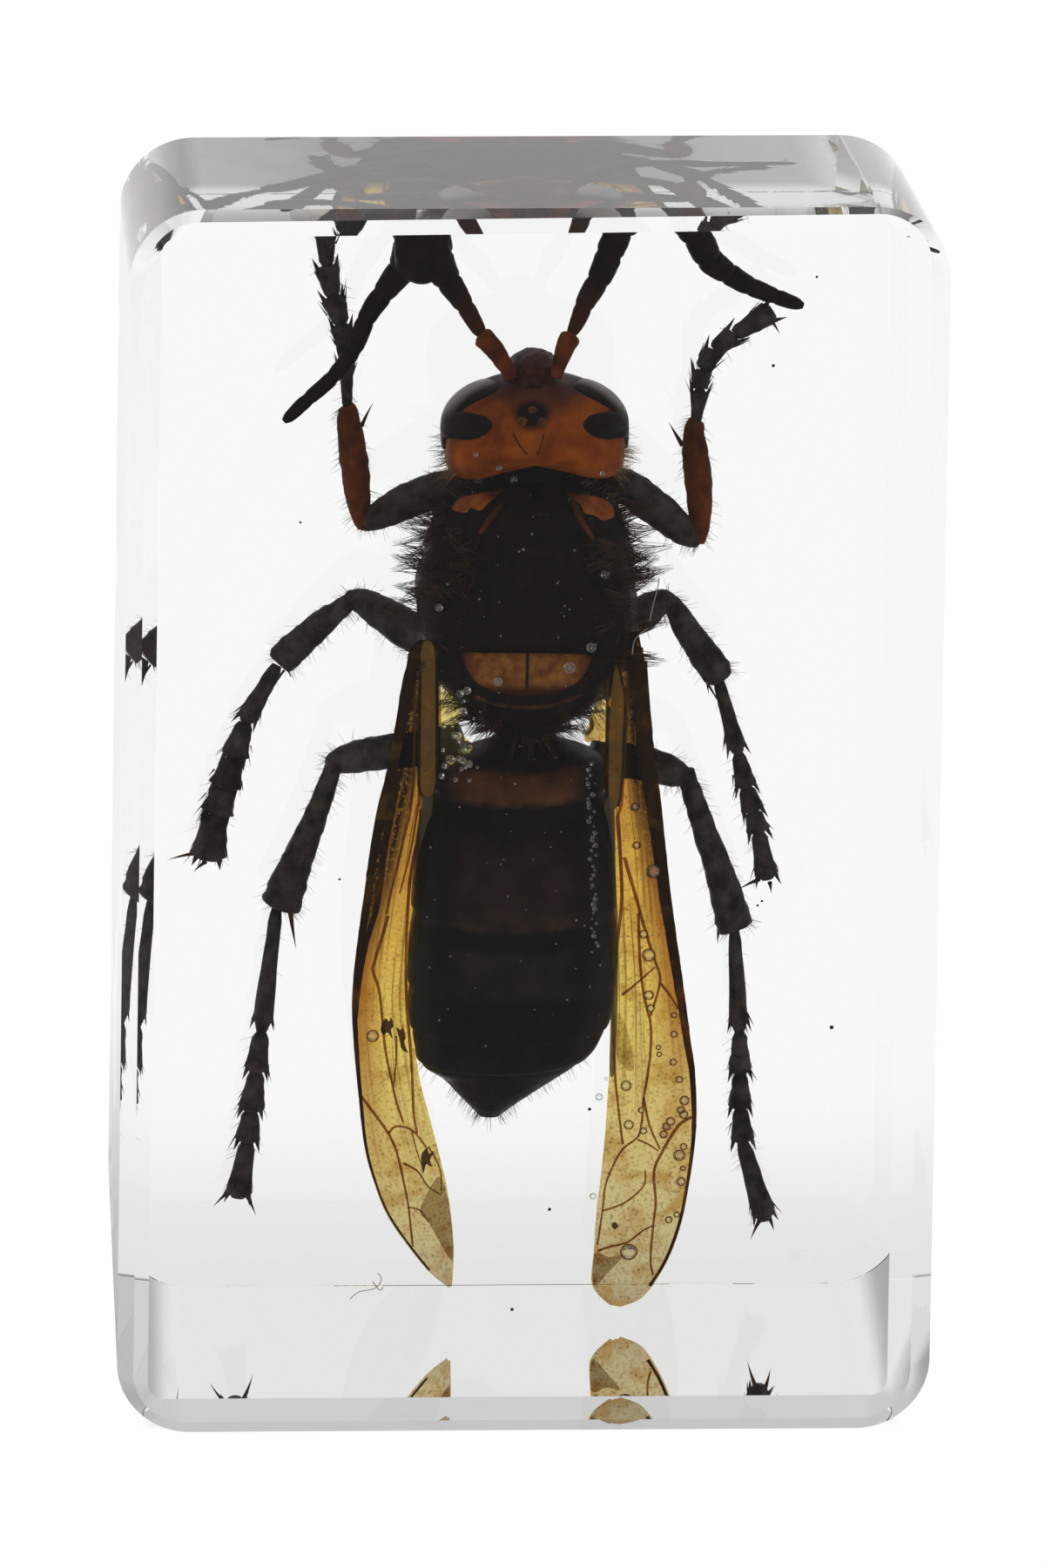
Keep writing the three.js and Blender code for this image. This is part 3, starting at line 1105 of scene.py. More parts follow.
# Air bubbles and dirt: picture x, picture y, depth, width in the picture.
bubbles = {
    "onBack": [(695, 660, 10), (504, 698, 9), (679, 744, 11), (654, 767, 13), (572, 783, 10), (590, 551, 8),
               (573, 538, 6), (692, 544, 6), (546, 523, 5), (601, 631, 4), (660, 632, 3), (514, 671, 4)],
    "onWing": [(729, 927, 9), (731, 971, 8), (739, 1073, 9), (745, 1097, 14), (745, 1143, 10), (747, 1158, 8),
               (719, 1247, 11), (722, 1292, 10), (736, 1275, 6), (739, 1299, 7), (774, 1166, 6), (774, 1188, 7),
               (756, 1203, 5), (757, 1211, 5), (773, 1220, 7), (780, 1240, 7), (786, 1264, 10), (782, 1275, 8),
               (785, 1280, 9), (770, 1288, 9), (765, 1294, 8), (762, 1303, 8), (780, 1327, 12), (785, 1317, 7),
               (784, 1342, 5), (782, 1357, 9), (777, 1395, 6), (768, 1401, 7), (428, 1190, 13), (722, 1438, 18),
               (535, 859, 15), (517, 873, 12), (507, 891, 8), (538, 878, 6), (548, 881, 5), (750, 1001, 15)],
    "free": [(688, 1260, 17, 9), (696, 1239, 17, 4), (681, 1374, 17, 8)],
    "chain": {"x": 678, "top": 877, "bottom": 1097, "count": 40, "spread": 4, "width": (2, 6)},
    "cluster": {"left": 508, "right": 545, "top": 792, "bottom": 900, "count": 26, "width": (4, 12)},
    "dust": {"left": 485, "right": 725, "top": 560, "bottom": 1240, "count": 90, "width": (1.0, 2.6)},
}

# Folded wings: edges and veins are picture points; the sheet sinks from the root to the tip.
wings = {
    "depths": [(735, 10.6), (900, 12.2), (1100, 14.8), (1300, 17.0), (1500, 18.8)],
    "left": {
        "stretch": 1.0,
        "costaWidth": 15,
        "strips": [[(486, 912), (497, 914), (490, 990), (483, 1050), (477, 1094), (471, 1092), (475, 1040), (481, 985)]],
        "pale": [[(508, 790), (524, 800), (530, 820), (526, 838), (542, 856), (530, 872), (516, 884), (508, 870), (506, 830)]],
        "outer": [(482, 735), (470, 748), (466, 771), (457, 817), (444, 886), (433, 929), (423, 988), (418, 1034),
                  (411, 1077), (406, 1120), (404, 1160), (407, 1210), (411, 1252), (419, 1320), (431, 1363),
                  (446, 1399), (469, 1432), (492, 1460), (515, 1479)],
        "inner": [(502, 735), (505, 760), (506, 790), (506, 840), (500, 914), (497, 937), (488, 988), (483, 1021),
                  (477, 1077), (474, 1115), (472, 1151), (477, 1202), (482, 1240), (495, 1290), (507, 1337),
                  (514, 1368), (519, 1406), (521, 1440), (519, 1477)],
        "veins": [
            ([(414, 1258), (426, 1274), (446, 1302), (456, 1325), (463, 1355), (469, 1386), (474, 1432)], 3.2),
            ([(446, 1052), (430, 1105), (428, 1115), (436, 1141), (442, 1202), (450, 1243), (456, 1268), (463, 1289)], 3.4),
            ([(455, 1190), (455, 1215), (452, 1248)], 2.2),
            ([(483, 930), (483, 950), (472, 1001), (468, 1052), (466, 1115), (468, 1164), (472, 1215), (474, 1253),
              (475, 1279), (479, 1302)], 3.6),
            ([(446, 1302), (454, 1294), (469, 1296), (479, 1304), (491, 1320)], 2.8),
            ([(463, 1336), (479, 1345), (492, 1363), (506, 1372)], 2.2),
            ([(492, 1317), (505, 1342), (507, 1368)], 2.0),
            ([(468, 1387), (482, 1390), (492, 1404)], 2.0),
            ([(473, 1300), (478, 1320), (484, 1338)], 1.6),
            ([(481, 740), (483, 800), (482, 870), (481, 925)], 4.5),
            ([(500, 742), (500, 800), (500, 870), (499, 915)], 3.0),
            ([(456, 886), (448, 940), (441, 975), (433, 1039), (420, 1085), (412, 1130), (408, 1170)], 9.0),
            ([(476, 770), (476, 850), (472, 924), (464, 962), (450, 1021), (444, 1050)], 3.0),
            ([(480, 924), (472, 975), (459, 1026)], 2.4),
        ],
        "seams": [[(485, 742), (483, 800), (482, 870), (482, 905), (488, 916), (497, 914)],
                  [(500, 745), (501, 800), (501, 870), (499, 908)]],
        "costa": [(476, 742), (466, 775), (456, 830), (446, 886), (435, 930), (425, 988), (419, 1034), (413, 1077),
                  (408, 1120), (406, 1160), (409, 1210), (413, 1252), (420, 1315), (432, 1360), (447, 1396),
                  (470, 1430), (493, 1459)],
        "cells": [[(484, 742), (498, 742), (500, 800), (500, 870), (499, 905), (493, 915), (486, 912), (483, 900),
                   (483, 850), (484, 790)]],
        "folds": [[(482, 1391), (492, 1404), (504, 1425), (519, 1448), (520, 1420), (515, 1380), (506, 1352),
                   (495, 1362)]],
        "smudges": [[(437, 1181), (442, 1170), (447, 1173), (449, 1168), (452, 1178), (449, 1183), (451, 1193), (445, 1186), (440, 1189)],
                    [(455, 1180), (460, 1183), (463, 1180), (466, 1192), (464, 1197), (468, 1209), (461, 1204), (459, 1195)],
                    [(484, 1326), (490, 1319), (493, 1325), (499, 1322), (494, 1332), (496, 1340), (489, 1337), (486, 1348), (484, 1338)]],
    },
    "right": {
        "stretch": 0.78,
        "costaWidth": 21,
        "strips": [[(694, 925), (705, 925), (707, 1000), (710, 1080), (709, 1150), (706, 1228), (700, 1228), (702, 1150),
                    (702, 1080), (697, 1000)]],
        "pale": [[(691, 778), (695, 800), (696, 850), (684, 852), (671, 849), (680, 820)]],
        "outer": [(733, 725), (739, 758), (742, 790), (745, 822), (750, 873), (757, 919), (764, 975), (770, 1026),
                  (775, 1064), (783, 1120), (788, 1155), (793, 1194), (798, 1229), (800, 1274), (798, 1314),
                  (790, 1368), (781, 1410), (766, 1449), (740, 1488), (713, 1501)],
        "inner": [(714, 728), (706, 755), (697, 779), (696, 810), (695, 848), (695, 919), (698, 950), (701, 1026),
                  (702, 1064), (703, 1110), (703, 1154), (701, 1200), (699, 1240), (697, 1270), (695, 1301),
                  (690, 1350), (685, 1390), (682, 1435), (680, 1476), (700, 1499)],
        "veins": [
            ([(709, 937), (714, 1026), (708, 1090), (706, 1115), (704, 1159), (706, 1229), (710, 1272), (715, 1314)], 3.6),
            ([(733, 1049), (735, 1105), (740, 1146), (747, 1175), (747, 1207), (743, 1239), (739, 1261), (737, 1288),
              (732, 1306), (715, 1320), (703, 1341), (695, 1363), (692, 1389), (686, 1430)], 3.0),
            ([(717, 985), (729, 1026), (742, 1072), (752, 1103), (758, 1127), (747, 1167)], 3.8),
            ([(714, 1143), (728, 1132), (752, 1111)], 2.8),
            ([(758, 1129), (769, 1143), (779, 1159)], 3.0),
            ([(739, 1261), (746, 1293), (758, 1320)], 2.8),
            ([(732, 1309), (744, 1314), (756, 1322)], 2.4),
            ([(794, 1283), (779, 1293), (761, 1322), (751, 1346), (753, 1381), (750, 1408), (747, 1448), (750, 1464)], 3.4),
            ([(692, 1391), (718, 1381), (739, 1362), (741, 1344)], 2.4),
            ([(686, 1437), (700, 1432), (720, 1427), (739, 1413), (750, 1408)], 2.6),
            ([(698, 780), (697, 850), (698, 920)], 3.5),
            ([(722, 770), (719, 830), (716, 880), (713, 925), (709, 937)], 4.5),
            ([(738, 760), (743, 822), (748, 873), (755, 919), (761, 975), (767, 1026), (772, 1064), (779, 1112)], 10.0),
            ([(726, 760), (734, 822), (741, 870), (745, 900)], 4.0),
        ],
        "seams": [[(700, 812), (698, 850), (697, 900), (699, 924), (706, 929)],
                  [(707, 762), (716, 800), (716, 850), (713, 900), (709, 926)]],
        "costa": [(737, 745), (741, 790), (744, 822), (748, 873), (755, 919), (762, 975), (768, 1026), (773, 1064),
                  (781, 1120), (786, 1155), (791, 1194), (796, 1229), (798, 1274), (796, 1314), (788, 1368),
                  (779, 1409), (764, 1448), (746, 1477)],
        "cells": [[(707, 765), (716, 800), (715, 850), (713, 900), (709, 925), (703, 929), (699, 922), (699, 870),
                   (700, 820)]],
        "folds": [[(683, 1440), (700, 1444), (716, 1441), (700, 1460), (682, 1476)]],
        "smudges": [[(703, 1405), (707, 1404), (710, 1408), (707, 1412), (703, 1410)]],
        "veils": [[(709, 1165), (716, 1172), (724, 1195), (728, 1225), (722, 1230), (714, 1222), (708, 1212)]],
    },
    "rootDark": 0.49,  # share of the length over which the folded root stays dark
}


def wingDepth(y):
    table = wings["depths"]
    for (y0, d0), (y1, d1) in zip(table, table[1:]):
        if y <= y1:
            return d0 + (d1 - d0) * (y - y0) / (y1 - y0)
    return table[-1][1]


def wingMembrane(name, stops, dark=0.0, speckle=0.5, solid=0.1):
    # Wing membrane, dried: a clear amber skin that light passes through, dark and streaked where it lies folded.
    m = newMaterial(name)
    place = blockPlace(m)
    uv = addNode(m, "ShaderNodeUVMap")
    parts = addNode(m, "ShaderNodeSeparateXYZ", links={"Vector": uv.outputs["UV"]})
    across, along = parts.outputs["X"], parts.outputs["Y"]
    base = addRamp(m, along, stops)
    clouds = addNode(m, "ShaderNodeTexNoise", {"Scale": 0.55, "Detail": 4.0, "Distortion": 0.6}, {"Vector": place})
    clouded = addMix(m, mapRange(m, clouds.outputs["Fac"], 0.45, 0.7, 0.0, 0.7), base, "#b8862e")
    toTip = mapRange(m, along, 0.86, 0.5, 0.0, 1.0 if dark else 0.0)
    edge = addMath(m, "MULTIPLY", mapRange(m, across, 0.6, 0.1, 0.0, 0.9), toTip)
    warmed = addMix(m, edge, clouded, "#a45c14")
    stretch = addNode(m, "ShaderNodeMapping", {"Scale": (9.0, 1.1, 1.0)}, {"Vector": uv.outputs["UV"]})
    folds = addNode(m, "ShaderNodeTexNoise", {"Scale": 1.7, "Detail": 4.0, "Roughness": 0.65},
                    {"Vector": stretch.outputs["Vector"]})
    stripe = mapRange(m, folds.outputs["Fac"], 0.44, 0.56)
    outerHalf = mapRange(m, across, 0.66, 0.42)
    slanted = addMath(m, "MULTIPLY_ADD", across, 0.25, along)
    root = mapRange(m, slanted, wings["rootDark"] + 0.1, wings["rootDark"] - 0.08, 0.0, dark)
    folded = addMath(m, "MULTIPLY", root, addMath(m, "MAXIMUM", stripe, outerHalf))
    streaked = addMix(m, folded, warmed, "#190f08")
    faint = addMath(m, "MULTIPLY", mapRange(m, folds.outputs["Fac"], 0.5, 0.62, 0.0, 0.75), toTip)
    creased = addMix(m, faint, streaked, "#7a4a1a")
    dots = addNode(m, "ShaderNodeTexVoronoi", {"Scale": 3.0}, {"Vector": place})
    patchy = mapRange(m, clouds.outputs["Fac"], 0.4, 0.62, 0.15, 1.0)
    dotted = addMath(m, "MULTIPLY", patchy, mapRange(m, dots.outputs["Distance"], 0.34, 0.18, 0.0, speckle))
    grain = addNode(m, "ShaderNodeTexNoise", {"Scale": 5.5, "Detail": 2.0}, {"Vector": place})
    grained = addMix(m, mapRange(m, grain.outputs["Fac"], 0.5, 0.68, 0.0, speckle), creased, "#96702c")
    peppered = addMix(m, dotted, grained, "#6a4a20")
    clear = addNode(m, "ShaderNodeBsdfTransparent", links={"Color": peppered})
    skin = addNode(m, "ShaderNodeBsdfDiffuse", links={"Color": peppered})
    mix = addNode(m, "ShaderNodeMixShader", {"Fac": solid}, {1: clear.outputs[0], 2: skin.outputs[0]})
    return finishMaterial(m, mix)


def addSheet(shape, outline, lift):
    # a small flat sheet on the wing, inside an outline of picture points
    edge = smoothRows(outline, 5, closed=True)
    middle = (sum(p[0] for p in edge) / len(edge), sum(p[1] for p in edge) / len(edge))
    base = len(shape["points"])
    shape["points"].append(seen(*middle, wingDepth(middle[1]) + lift))
    for x, y in edge:
        shape["points"].append(seen(x, y, wingDepth(y) + lift))
    for i in range(len(edge)):
        shape["faces"].append((base, base + 1 + i, base + 1 + (i + 1) % len(edge)))
    shape["uvs"] += [(0.5, 0.9)] * (len(edge) + 1)


def makeWings():
    amber = [(0.0, "#8a5f26"), (0.2, "#a8742a"), (0.36, "#c8923a"), (0.46, "#e0b850"), (0.6, "#e6ca66"), (0.76, "#dfc97c"),
             (0.88, "#dccb92"), (1.0, "#c4b794")]
    skins = {
        "membrane": wingMembrane("driedWingMembrane", amber, 0.99),
        "cells": wingMembrane("driedWingCell", [(0.0, "#94703a"), (1.0, "#94703a")], 0.0, 0.5, 0.75),
        "folds": wingMembrane("driedWingFold", [(0.0, "#c6b8a4"), (1.0, "#c6b8a4")], 0.0, 0.3, 0.2),
        "veils": wingMembrane("driedWingVeil", [(0.0, "#e0dac0"), (1.0, "#e0dac0")], 0.0, 0.1, 0.12),
        "pale": wingMembrane("driedHindWing", [(0.0, "#e8d684"), (1.0, "#e8d684")], 0.0, 0.3, 0.1),
        "smudges": wingMembrane("driedWingSmudge", [(0.0, "#5a4a38"), (1.0, "#5a4a38")], 0.0, 0.2, 0.45),
        "veins": wingMembrane("driedWingVein", [(0.0, "#cba86e"), (1.0, "#cba86e")], 0.0, 0.0, 0.12),
        "strips": wingMembrane("driedWingFoldedEdge", [(0.0, "#8d8566"), (1.0, "#8d8566")], 0.0, 0.3, 0.45),
        "costa": wingMembrane("driedWingEdge", [(0.0, "#64421f"), (1.0, "#64421f")], 0.0, 0.0, 0.3),
    }
    sheets = {name: newShape() for name in skins}
    for side in ("left", "right"):
        wing = wings[side]
        outer, inner = smoothRows(wing["outer"], 8), smoothRows(wing["inner"], 8)
        rows = []
        for (ax, ay), (bx, by) in zip(outer, inner):
            row = []
            for k in range(25):
                t = k / 24
                x, y = ax + (bx - ax) * t, ay + (by - ay) * t
                ripple = 0.05 * math.sin(t * 14 + y * 0.01) + 0.03 * noise.noise(Vector((x, y, 0)) * 0.05)
                row.append(seen(x, y, wingDepth(y) + ripple + 0.5 * (t - 0.5) ** 2))
            rows.append(row)
        addGrid(sheets["membrane"], rows, wing["stretch"])
        inward = 1 if side == "left" else -1
        lines = wing["veins"] + [(points, 6.5) for points in wing["seams"]] + [(wing["costa"], wing["costaWidth"])]
        for points, width in lines:
            kind = "costa" if width > 6 else "veins"
            width *= 1.2 if width < 6 else 1
            path = []
            smooth = smoothRows(points, 6)
            for n, (x, y) in enumerate(smooth):
                thin = 1 - (0.82 if width > 12 else 0.35) * min(1.25 * n / len(smooth), 1)
                shift = inward * max(width * thin / 2 - 2, 0) if width > 12 else 0
                path.append((seen(x + shift, y, wingDepth(y) - 0.03), width * thin / 2 / picture["pixelsPerMm"]))
            addRings(sheets[kind], tubeRings(path, 8, 0.4, 0.15))
        for x, y, width in bubbles["onWing"]:
            if (x < 600) == (side == "left"):
                radius = width / 2 / picture["pixelsPerMm"]
                middle = seen(x, y, wingDepth(y) - radius - 0.15)
                # a thin ring in vein colour round each bubble on the wing: painted shade for the dark outline that the
                # bubble's bending of light draws
                ring = [(middle + Vector((math.cos(a), 0, math.sin(a))) * radius * 1.04, 0.045)
                        for a in (2 * math.pi * k / 20 for k in range(21))]
                addRings(sheets["veins"], tubeRings(ring, 6), capped=False)
        for name, lift in (("cells", -0.16), ("folds", 0.12), ("smudges", -0.12), ("veils", 0.14), ("pale", 0.2), ("strips", -0.1)):
            for outline in wing.get(name, []):
                addSheet(sheets[name], outline, lift)
    for name, skin in skins.items():
        piece = newShape()
        piece["points"], piece["faces"] = sheets[name]["points"], sheets[name]["faces"]
        piece["uvs"] = sheets[name]["uvs"] or [(0.5, 0.9)] * len(piece["points"])
        makePiece("wing" + name.capitalize(), piece, skin)


makeWings()
print("wings made")

hairs = {
    "thorax": dict(seed=3, count=900, length=2.1, radius=0.022, lean=(0, 0, 0.1), clump=0.8, clumping=1.0, jitter=0.3,
                   tuft=11, stray=0.16),
    "fringe": dict(seed=4, count=260, length=1.9, radius=0.02, lean=(0, 0, -0.9), clump=1.1, clumping=0.5, jitter=0.2,
                   tuft=8, stray=0.2),
    "head": dict(seed=5, count=1500, length=1.0, radius=0.014, lean=(0, 0, 0.1), jitter=0.35),
    "tail": dict(seed=6, count=620, length=0.8, radius=0.012, lean=(0, 0, -1.6), jitter=0.3),
    "leg": dict(seed=7, count=130, length=0.75, radius=0.01, lean=(0, 0, -0.6), jitter=0.3),
    "collar": dict(seed=8, count=1300, length=0.85, radius=0.014, lean=(0, 0, 0.5), jitter=0.4),
}


def makeHairs():
    shape = newShape()
    waist = seen(600, 690, 14).z
    collar = seen(600, 604, 12).z

    def onThorax(p, out):
        if abs(out.x) < 0.55:
            return 0.012
        if p.z > collar and out.y < -0.25:
            return 0.0
        return 1.0 if p.z > waist else 0.3

    scatterHairs(shape, thoraxRings, hairs["thorax"], onThorax)
    low = seen(600, 775, 14).z
    scatterHairs(shape, thoraxRings, hairs["fringe"], lambda p, out: 1.0 if p.z < low else 0.0)
    end = seen(590, 1215, 13).z
    scatterHairs(shape, abdomenRings, hairs["tail"], lambda p, out: 1.0 if p.z < end else 0.03)
    makePiece("bodyHair", shape, hairFibre)
    shape = newShape()
    neckline = seen(600, 590, 13).z
    scatterHairs(shape, thoraxRings, hairs["collar"],
                 lambda p, out: (1.0 if out.y > -0.5 else 0.12) if p.z > neckline else 0.0)
    cheek = headMiddle.z - 0.7
    scatterHairs(shape, headRings, dict(hairs["head"], centre=headMiddle),
                 lambda p, out: 1.0 if p.z < cheek and abs(p.x - headMiddle.x) > 4.3 else 0.0)
    makePiece("goldenHair", shape, paleHair)
    shape = newShape()
    for name, parts in legRings.items():
        scatterHairs(shape, parts[0], hairs["leg"])
        scatterHairs(shape, parts[1], dict(hairs["leg"], seed=9))
        scatterHairs(shape, parts[2], dict(hairs["leg"], seed=10, count=60))
    makePiece("legHair", shape, hairFibre)


makeHairs()
print("hairs made")

threads = [
    ([(746, 714), (750, 695), (755, 676), (757, 664)], 8.8, 1.2),
    ([(744, 722), (734, 729), (728, 738), (726, 752)], 8.8, 1.2),
    ([(402, 1492), (412, 1484), (430, 1480), (438, 1470), (434, 1462)], 6, 1.0),
    ([(428, 1472), (436, 1482), (440, 1478)], 6, 1.0),
    ([(668, 821), (677, 825), (680, 834), (675, 842), (669, 840)], 12, 5.0),
]
specks = [(955, 1180, 4, 5), (588, 1504, 6, 4), (631, 1389, 4, 4), (677, 1274, 15, 4), (345, 600, 5, 3),
          (390, 1010, 6, 3), (888, 420, 3, 4), (875, 1035, 6, 3), (938, 318, 4, 3), (870, 1040, 8, 3)]


def addBall(shape, middle, radius, inward, sides=18, steps=10):
    rings = []
    for k in range(1, steps):
        a = math.pi * k / steps
        z, r = math.cos(a) * radius, math.sin(a) * radius
        rings.append([middle + Vector((r * math.cos(2 * math.pi * i / sides), r * math.sin(2 * math.pi * i / sides), z))
                      for i in range(sides)])
    start = len(shape["faces"])
    addRings(shape, rings)
    if inward:
        shape["faces"][start:] = [tuple(reversed(face)) for face in shape["faces"][start:]]


def makeBubbles():
    rng = random.Random(21)
    shape, pale = newShape(), newShape()
    perMm = picture["pixelsPerMm"]
    for x, y, width in bubbles["onBack"]:
        surface, _ = seenOn(headTree if y < 545 else thoraxTree, x, y)
        middle = seen(x, y, surface.y - width / perMm - 0.3)
        addBall(shape, middle, width / 2 / perMm, True)
        # a small pale ball inside each bubble on the back: a painted glint, the lamps' highlight in the bubble
        addBall(pale, middle, width / 7 / perMm, False, 10, 7)
    for x, y, width in bubbles["onWing"]:
        addBall(shape, seen(x, y, wingDepth(y) - width / perMm / 2 - 0.15), width / 2 / perMm, True)
    for x, y, depth, width in bubbles["free"]:
        addBall(shape, seen(x, y, depth), width / 2 / perMm, True)
    chain = bubbles["chain"]
    for n in range(chain["count"]):
        y = chain["top"] + (chain["bottom"] - chain["top"]) * (n + rng.random() * 0.5) / chain["count"]
        x = chain["x"] + rng.uniform(-1, 1) * chain["spread"] + 6 * (n / chain["count"])
        surface, _ = seenOn(abdomenTree, x, y, missing=12)
        width = rng.uniform(*chain["width"])
        addBall(shape, seen(x, y, surface.y - 0.35), width / 2 / perMm, True, 12, 8)
    cluster = bubbles["cluster"]
    for n in range(cluster["count"]):
        x, y = rng.uniform(cluster["left"], cluster["right"]), rng.uniform(cluster["top"], cluster["bottom"])
        width = rng.uniform(*cluster["width"]) * rng.uniform(0.4, 1)
        surface, _ = seenOn(abdomenTree if y > 850 else thoraxTree, x, y, missing=12)
        addBall(shape, seen(x, y, min(surface.y, 12) - 0.45 - rng.random() * 0.5), width / 2 / perMm, True, 14, 9)
    dust = bubbles["dust"]
    for n in range(dust["count"]):
        x, y = rng.uniform(dust["left"], dust["right"]), rng.uniform(dust["top"], dust["bottom"])
        surface, _ = seenOn(abdomenTree if y > 850 else thoraxTree, x, y, missing=0)
        if surface.y > 1:
            addBall(pale, seen(x, y, surface.y - 0.3), rng.uniform(*dust["width"]) / 2 / perMm, False, 8, 6)
    makePiece("airBubbles", shape, resinMaterial)
    # one piece for the real dust specks and the painted glints in the bubbles
    makePiece("dust", pale, cuticle("paleDustAndGlints", "#8c8c8a", "#dcdcd8", blotch=2.0, pit=3.0)[0])
    shape = newShape()
    for x, y, depth, width in specks:
        addBall(shape, seen(x, y, depth), width / 2 / perMm, False, 8, 6)
    makePiece("specks", shape, brownCuticle)
    fibres = newShape()
    for points, depth, width in threads:
        path = [(seen(x, y, depth), width / 2 / perMm) for x, y in smoothRows(points, 5)]
        addRings(fibres, tubeRings(path, 6))
    makePiece("threads", fibres, cuticle("lintFibre", "#b8ad98", "#d8d2c4", blotch=3.0)[0])


makeBubbles()
print("bubbles made")

stage = {
    "floor": 1.02,
    "underBlock": 0.2,
    "underSides": 0.38,  # nearer the left and right edges more light gets under it
    "behindBlock": 0.82,  # the soft shadow close behind the block
    "shadowLength": 26,
    "sky": 0.86,
    "overhead": 0.62,  # share of it straight above
    "horizon": 0.72,  # share of it low down
    "sideShare": 0.55,  # the two sides, dark so that they draw the edges of the glassy block and its bubbles
    "frontShare": 0.6,  # the side that the front faces, as the hornet's back is lit by it
    "frontMirrored": 0.2,  # and as the polished faces mirror it
    "backMirrored": 1.0,
    "farMirrored": 0.6,  # beyond this many metres behind the block
    "far": (0.25, 0.6),
    "size": 12.0,
    "gap": 0.05,
}


def shareOfLight(material, towardsBack):
    # Light from the front side is dimmed for rays that a polished face has mirrored or that a dull one has scattered.
    rays = addNode(material, "ShaderNodeLightPath")
    notThrough = addMath(material, "SUBTRACT", 1.0, rays.outputs["Is Transmission Ray"])
    mirrored = addMath(material, "MULTIPLY", notThrough, rays.outputs["Is Glossy Ray"])
    scattered = addMath(material, "MINIMUM", rays.outputs["Diffuse Depth"], 1.0)
    back = mapRange(material, towardsBack, -0.25, 0.25)

    def between(front, behind):
        return addMath(material, "MULTIPLY_ADD", back, behind - front, front)

    lit = addMath(material, "MULTIPLY_ADD", scattered, addMath(material, "SUBTRACT", between(stage["frontShare"], 1.0), 1.0), 1.0)
    change = addMath(material, "SUBTRACT", between(stage["frontMirrored"], stage["backMirrored"]), lit)
    return addMath(material, "MULTIPLY_ADD", mirrored, change, lit), rays


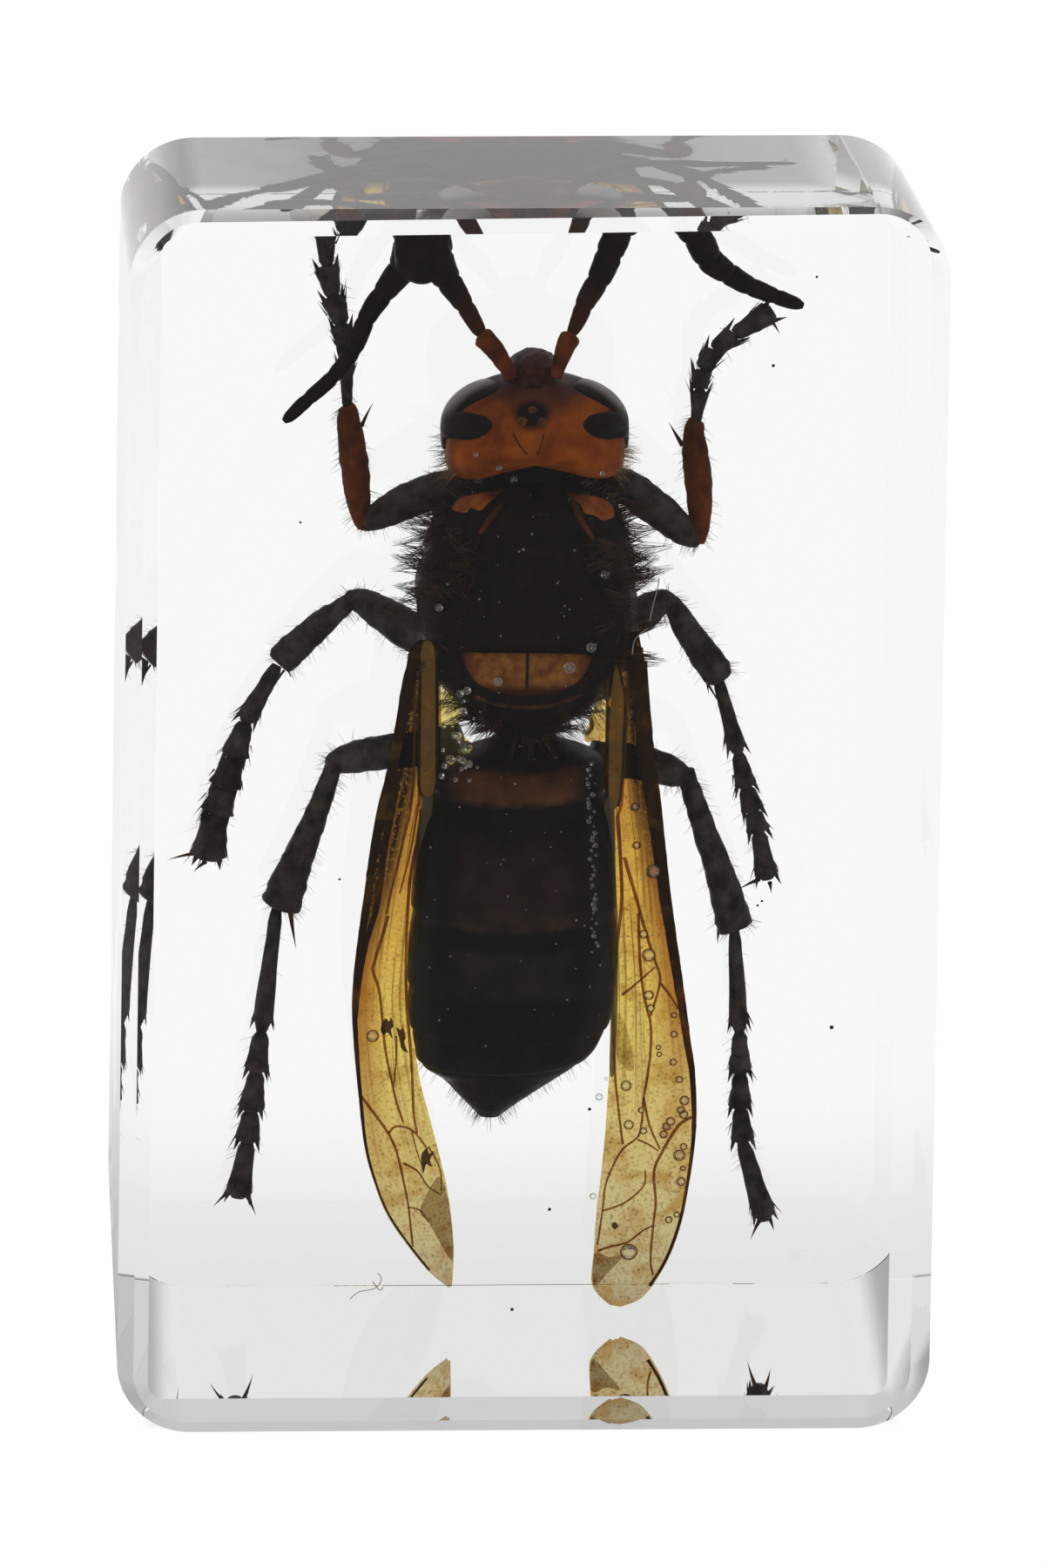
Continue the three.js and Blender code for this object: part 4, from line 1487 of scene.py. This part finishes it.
def makeStage():
    m = newMaterial("litPaperFloor")
    coordinate = addNode(m, "ShaderNodeTexCoord")
    parts = addNode(m, "ShaderNodeSeparateXYZ", links={"Vector": coordinate.outputs["Object"]})
    feet = [toWorld @ p for ring in blockRings(2) for p in ring]
    feet = [p for p in feet if p.z < 0.1 * mm]
    halfX = (max(p.x for p in feet) - min(p.x for p in feet)) / 2
    lowY, highY = min(p.y for p in feet), max(p.y for p in feet)
    # painted shadow on the glowing floor: dim under the block's footprint, less so towards its left and right edges
    awayX = addMath(m, "ABSOLUTE", parts.outputs["X"])
    overX = addMath(m, "SUBTRACT", awayX, halfX + 3 * mm)
    dark = mapRange(m, awayX, 3 * mm, halfX + mm, stage["underBlock"], stage["underSides"])
    awayY = addMath(m, "ABSOLUTE", addMath(m, "SUBTRACT", parts.outputs["Y"], (lowY + highY) / 2))
    over = addMath(m, "MAXIMUM", overX, addMath(m, "SUBTRACT", awayY, (highY - lowY) / 2))
    under = mapRange(m, over, 0.0, -3 * mm)
    share, rays = shareOfLight(m, addMath(m, "MULTIPLY", parts.outputs["Y"], 1 / 0.2))
    near = addMath(m, "MULTIPLY", mapRange(m, over, stage["shadowLength"] * mm, 0.0),
                   addMath(m, "SUBTRACT", 1.0, rays.outputs["Is Camera Ray"]))
    shadow = addMath(m, "MULTIPLY_ADD", near, stage["behindBlock"] - 1, 1.0)
    clear = addMath(m, "MULTIPLY", shadow, stage["floor"])
    change = addMath(m, "SUBTRACT", dark, clear)
    unseen = addMath(m, "SUBTRACT", 1.0, rays.outputs["Is Camera Ray"])
    aside = addMath(m, "MULTIPLY", unseen, mapRange(m, awayX, 0.05, 0.14))
    share = addMath(m, "MULTIPLY", share, addMath(m, "MULTIPLY_ADD", aside, stage["sideShare"] - 1, 1.0))
    far = mapRange(m, parts.outputs["Y"], *stage["far"])
    mirrored = addMath(m, "MULTIPLY", far, addMath(m, "MULTIPLY", rays.outputs["Is Glossy Ray"],
                       addMath(m, "SUBTRACT", 1.0, rays.outputs["Is Transmission Ray"])))
    share = addMath(m, "MULTIPLY", share, addMath(m, "MULTIPLY_ADD", mirrored, stage["farMirrored"] - 1, 1.0))
    level = addMath(m, "MULTIPLY", addMath(m, "MULTIPLY_ADD", under, change, clear), share)
    light = addNode(m, "ShaderNodeEmission", {"Color": hexColour("#ffffff")}, {"Strength": level})
    finishMaterial(m, light)
    size = stage["size"]
    mesh = bpy.data.meshes.new("floor")
    mesh.from_pydata([(x * size, y * size, -stage["gap"] * mm) for x, y in ((-1, -1), (1, -1), (1, 1), (-1, 1))], [], [(0, 1, 2, 3)])
    mesh.materials.append(m)
    floor = bpy.data.objects.new("floor", mesh)
    bpy.context.scene.collection.objects.link(floor)
    world = bpy.data.worlds.new("softStudio")
    bpy.context.scene.world = world
    world.use_nodes = True
    world.node_tree.nodes.clear()
    coordinate = addNode(world, "ShaderNodeTexCoord")
    parts = addNode(world, "ShaderNodeSeparateXYZ", links={"Vector": coordinate.outputs["Generated"]})
    share, _ = shareOfLight(world, parts.outputs["Y"])
    aside = addMath(world, "ABSOLUTE", parts.outputs["X"])
    share = addMath(world, "MULTIPLY", share, mapRange(world, aside, 0.3, 0.75, 1.0, stage["sideShare"]))
    above = mapRange(world, parts.outputs["Z"], 0.6, 1.0, stage["sky"], stage["sky"] * stage["overhead"])
    low = mapRange(world, parts.outputs["Z"], 0.3, 0.62, stage["horizon"], 1.0)
    level = addMath(world, "MULTIPLY", share, addMath(world, "MULTIPLY", above, low))
    sky = addNode(world, "ShaderNodeBackground", {"Color": hexColour("#ffffff")}, {"Strength": level})
    addNode(world, "ShaderNodeOutputWorld", links={"Surface": sky.outputs[0]})
    scene = bpy.context.scene
    scene.view_settings.view_transform = "Standard"
    scene.cycles.max_bounces = 32
    scene.cycles.transmission_bounces = 32
    scene.cycles.glossy_bounces = 24
    scene.cycles.diffuse_bounces = 4
    scene.cycles.transparent_max_bounces = 32


makeStage()
print("stage made")
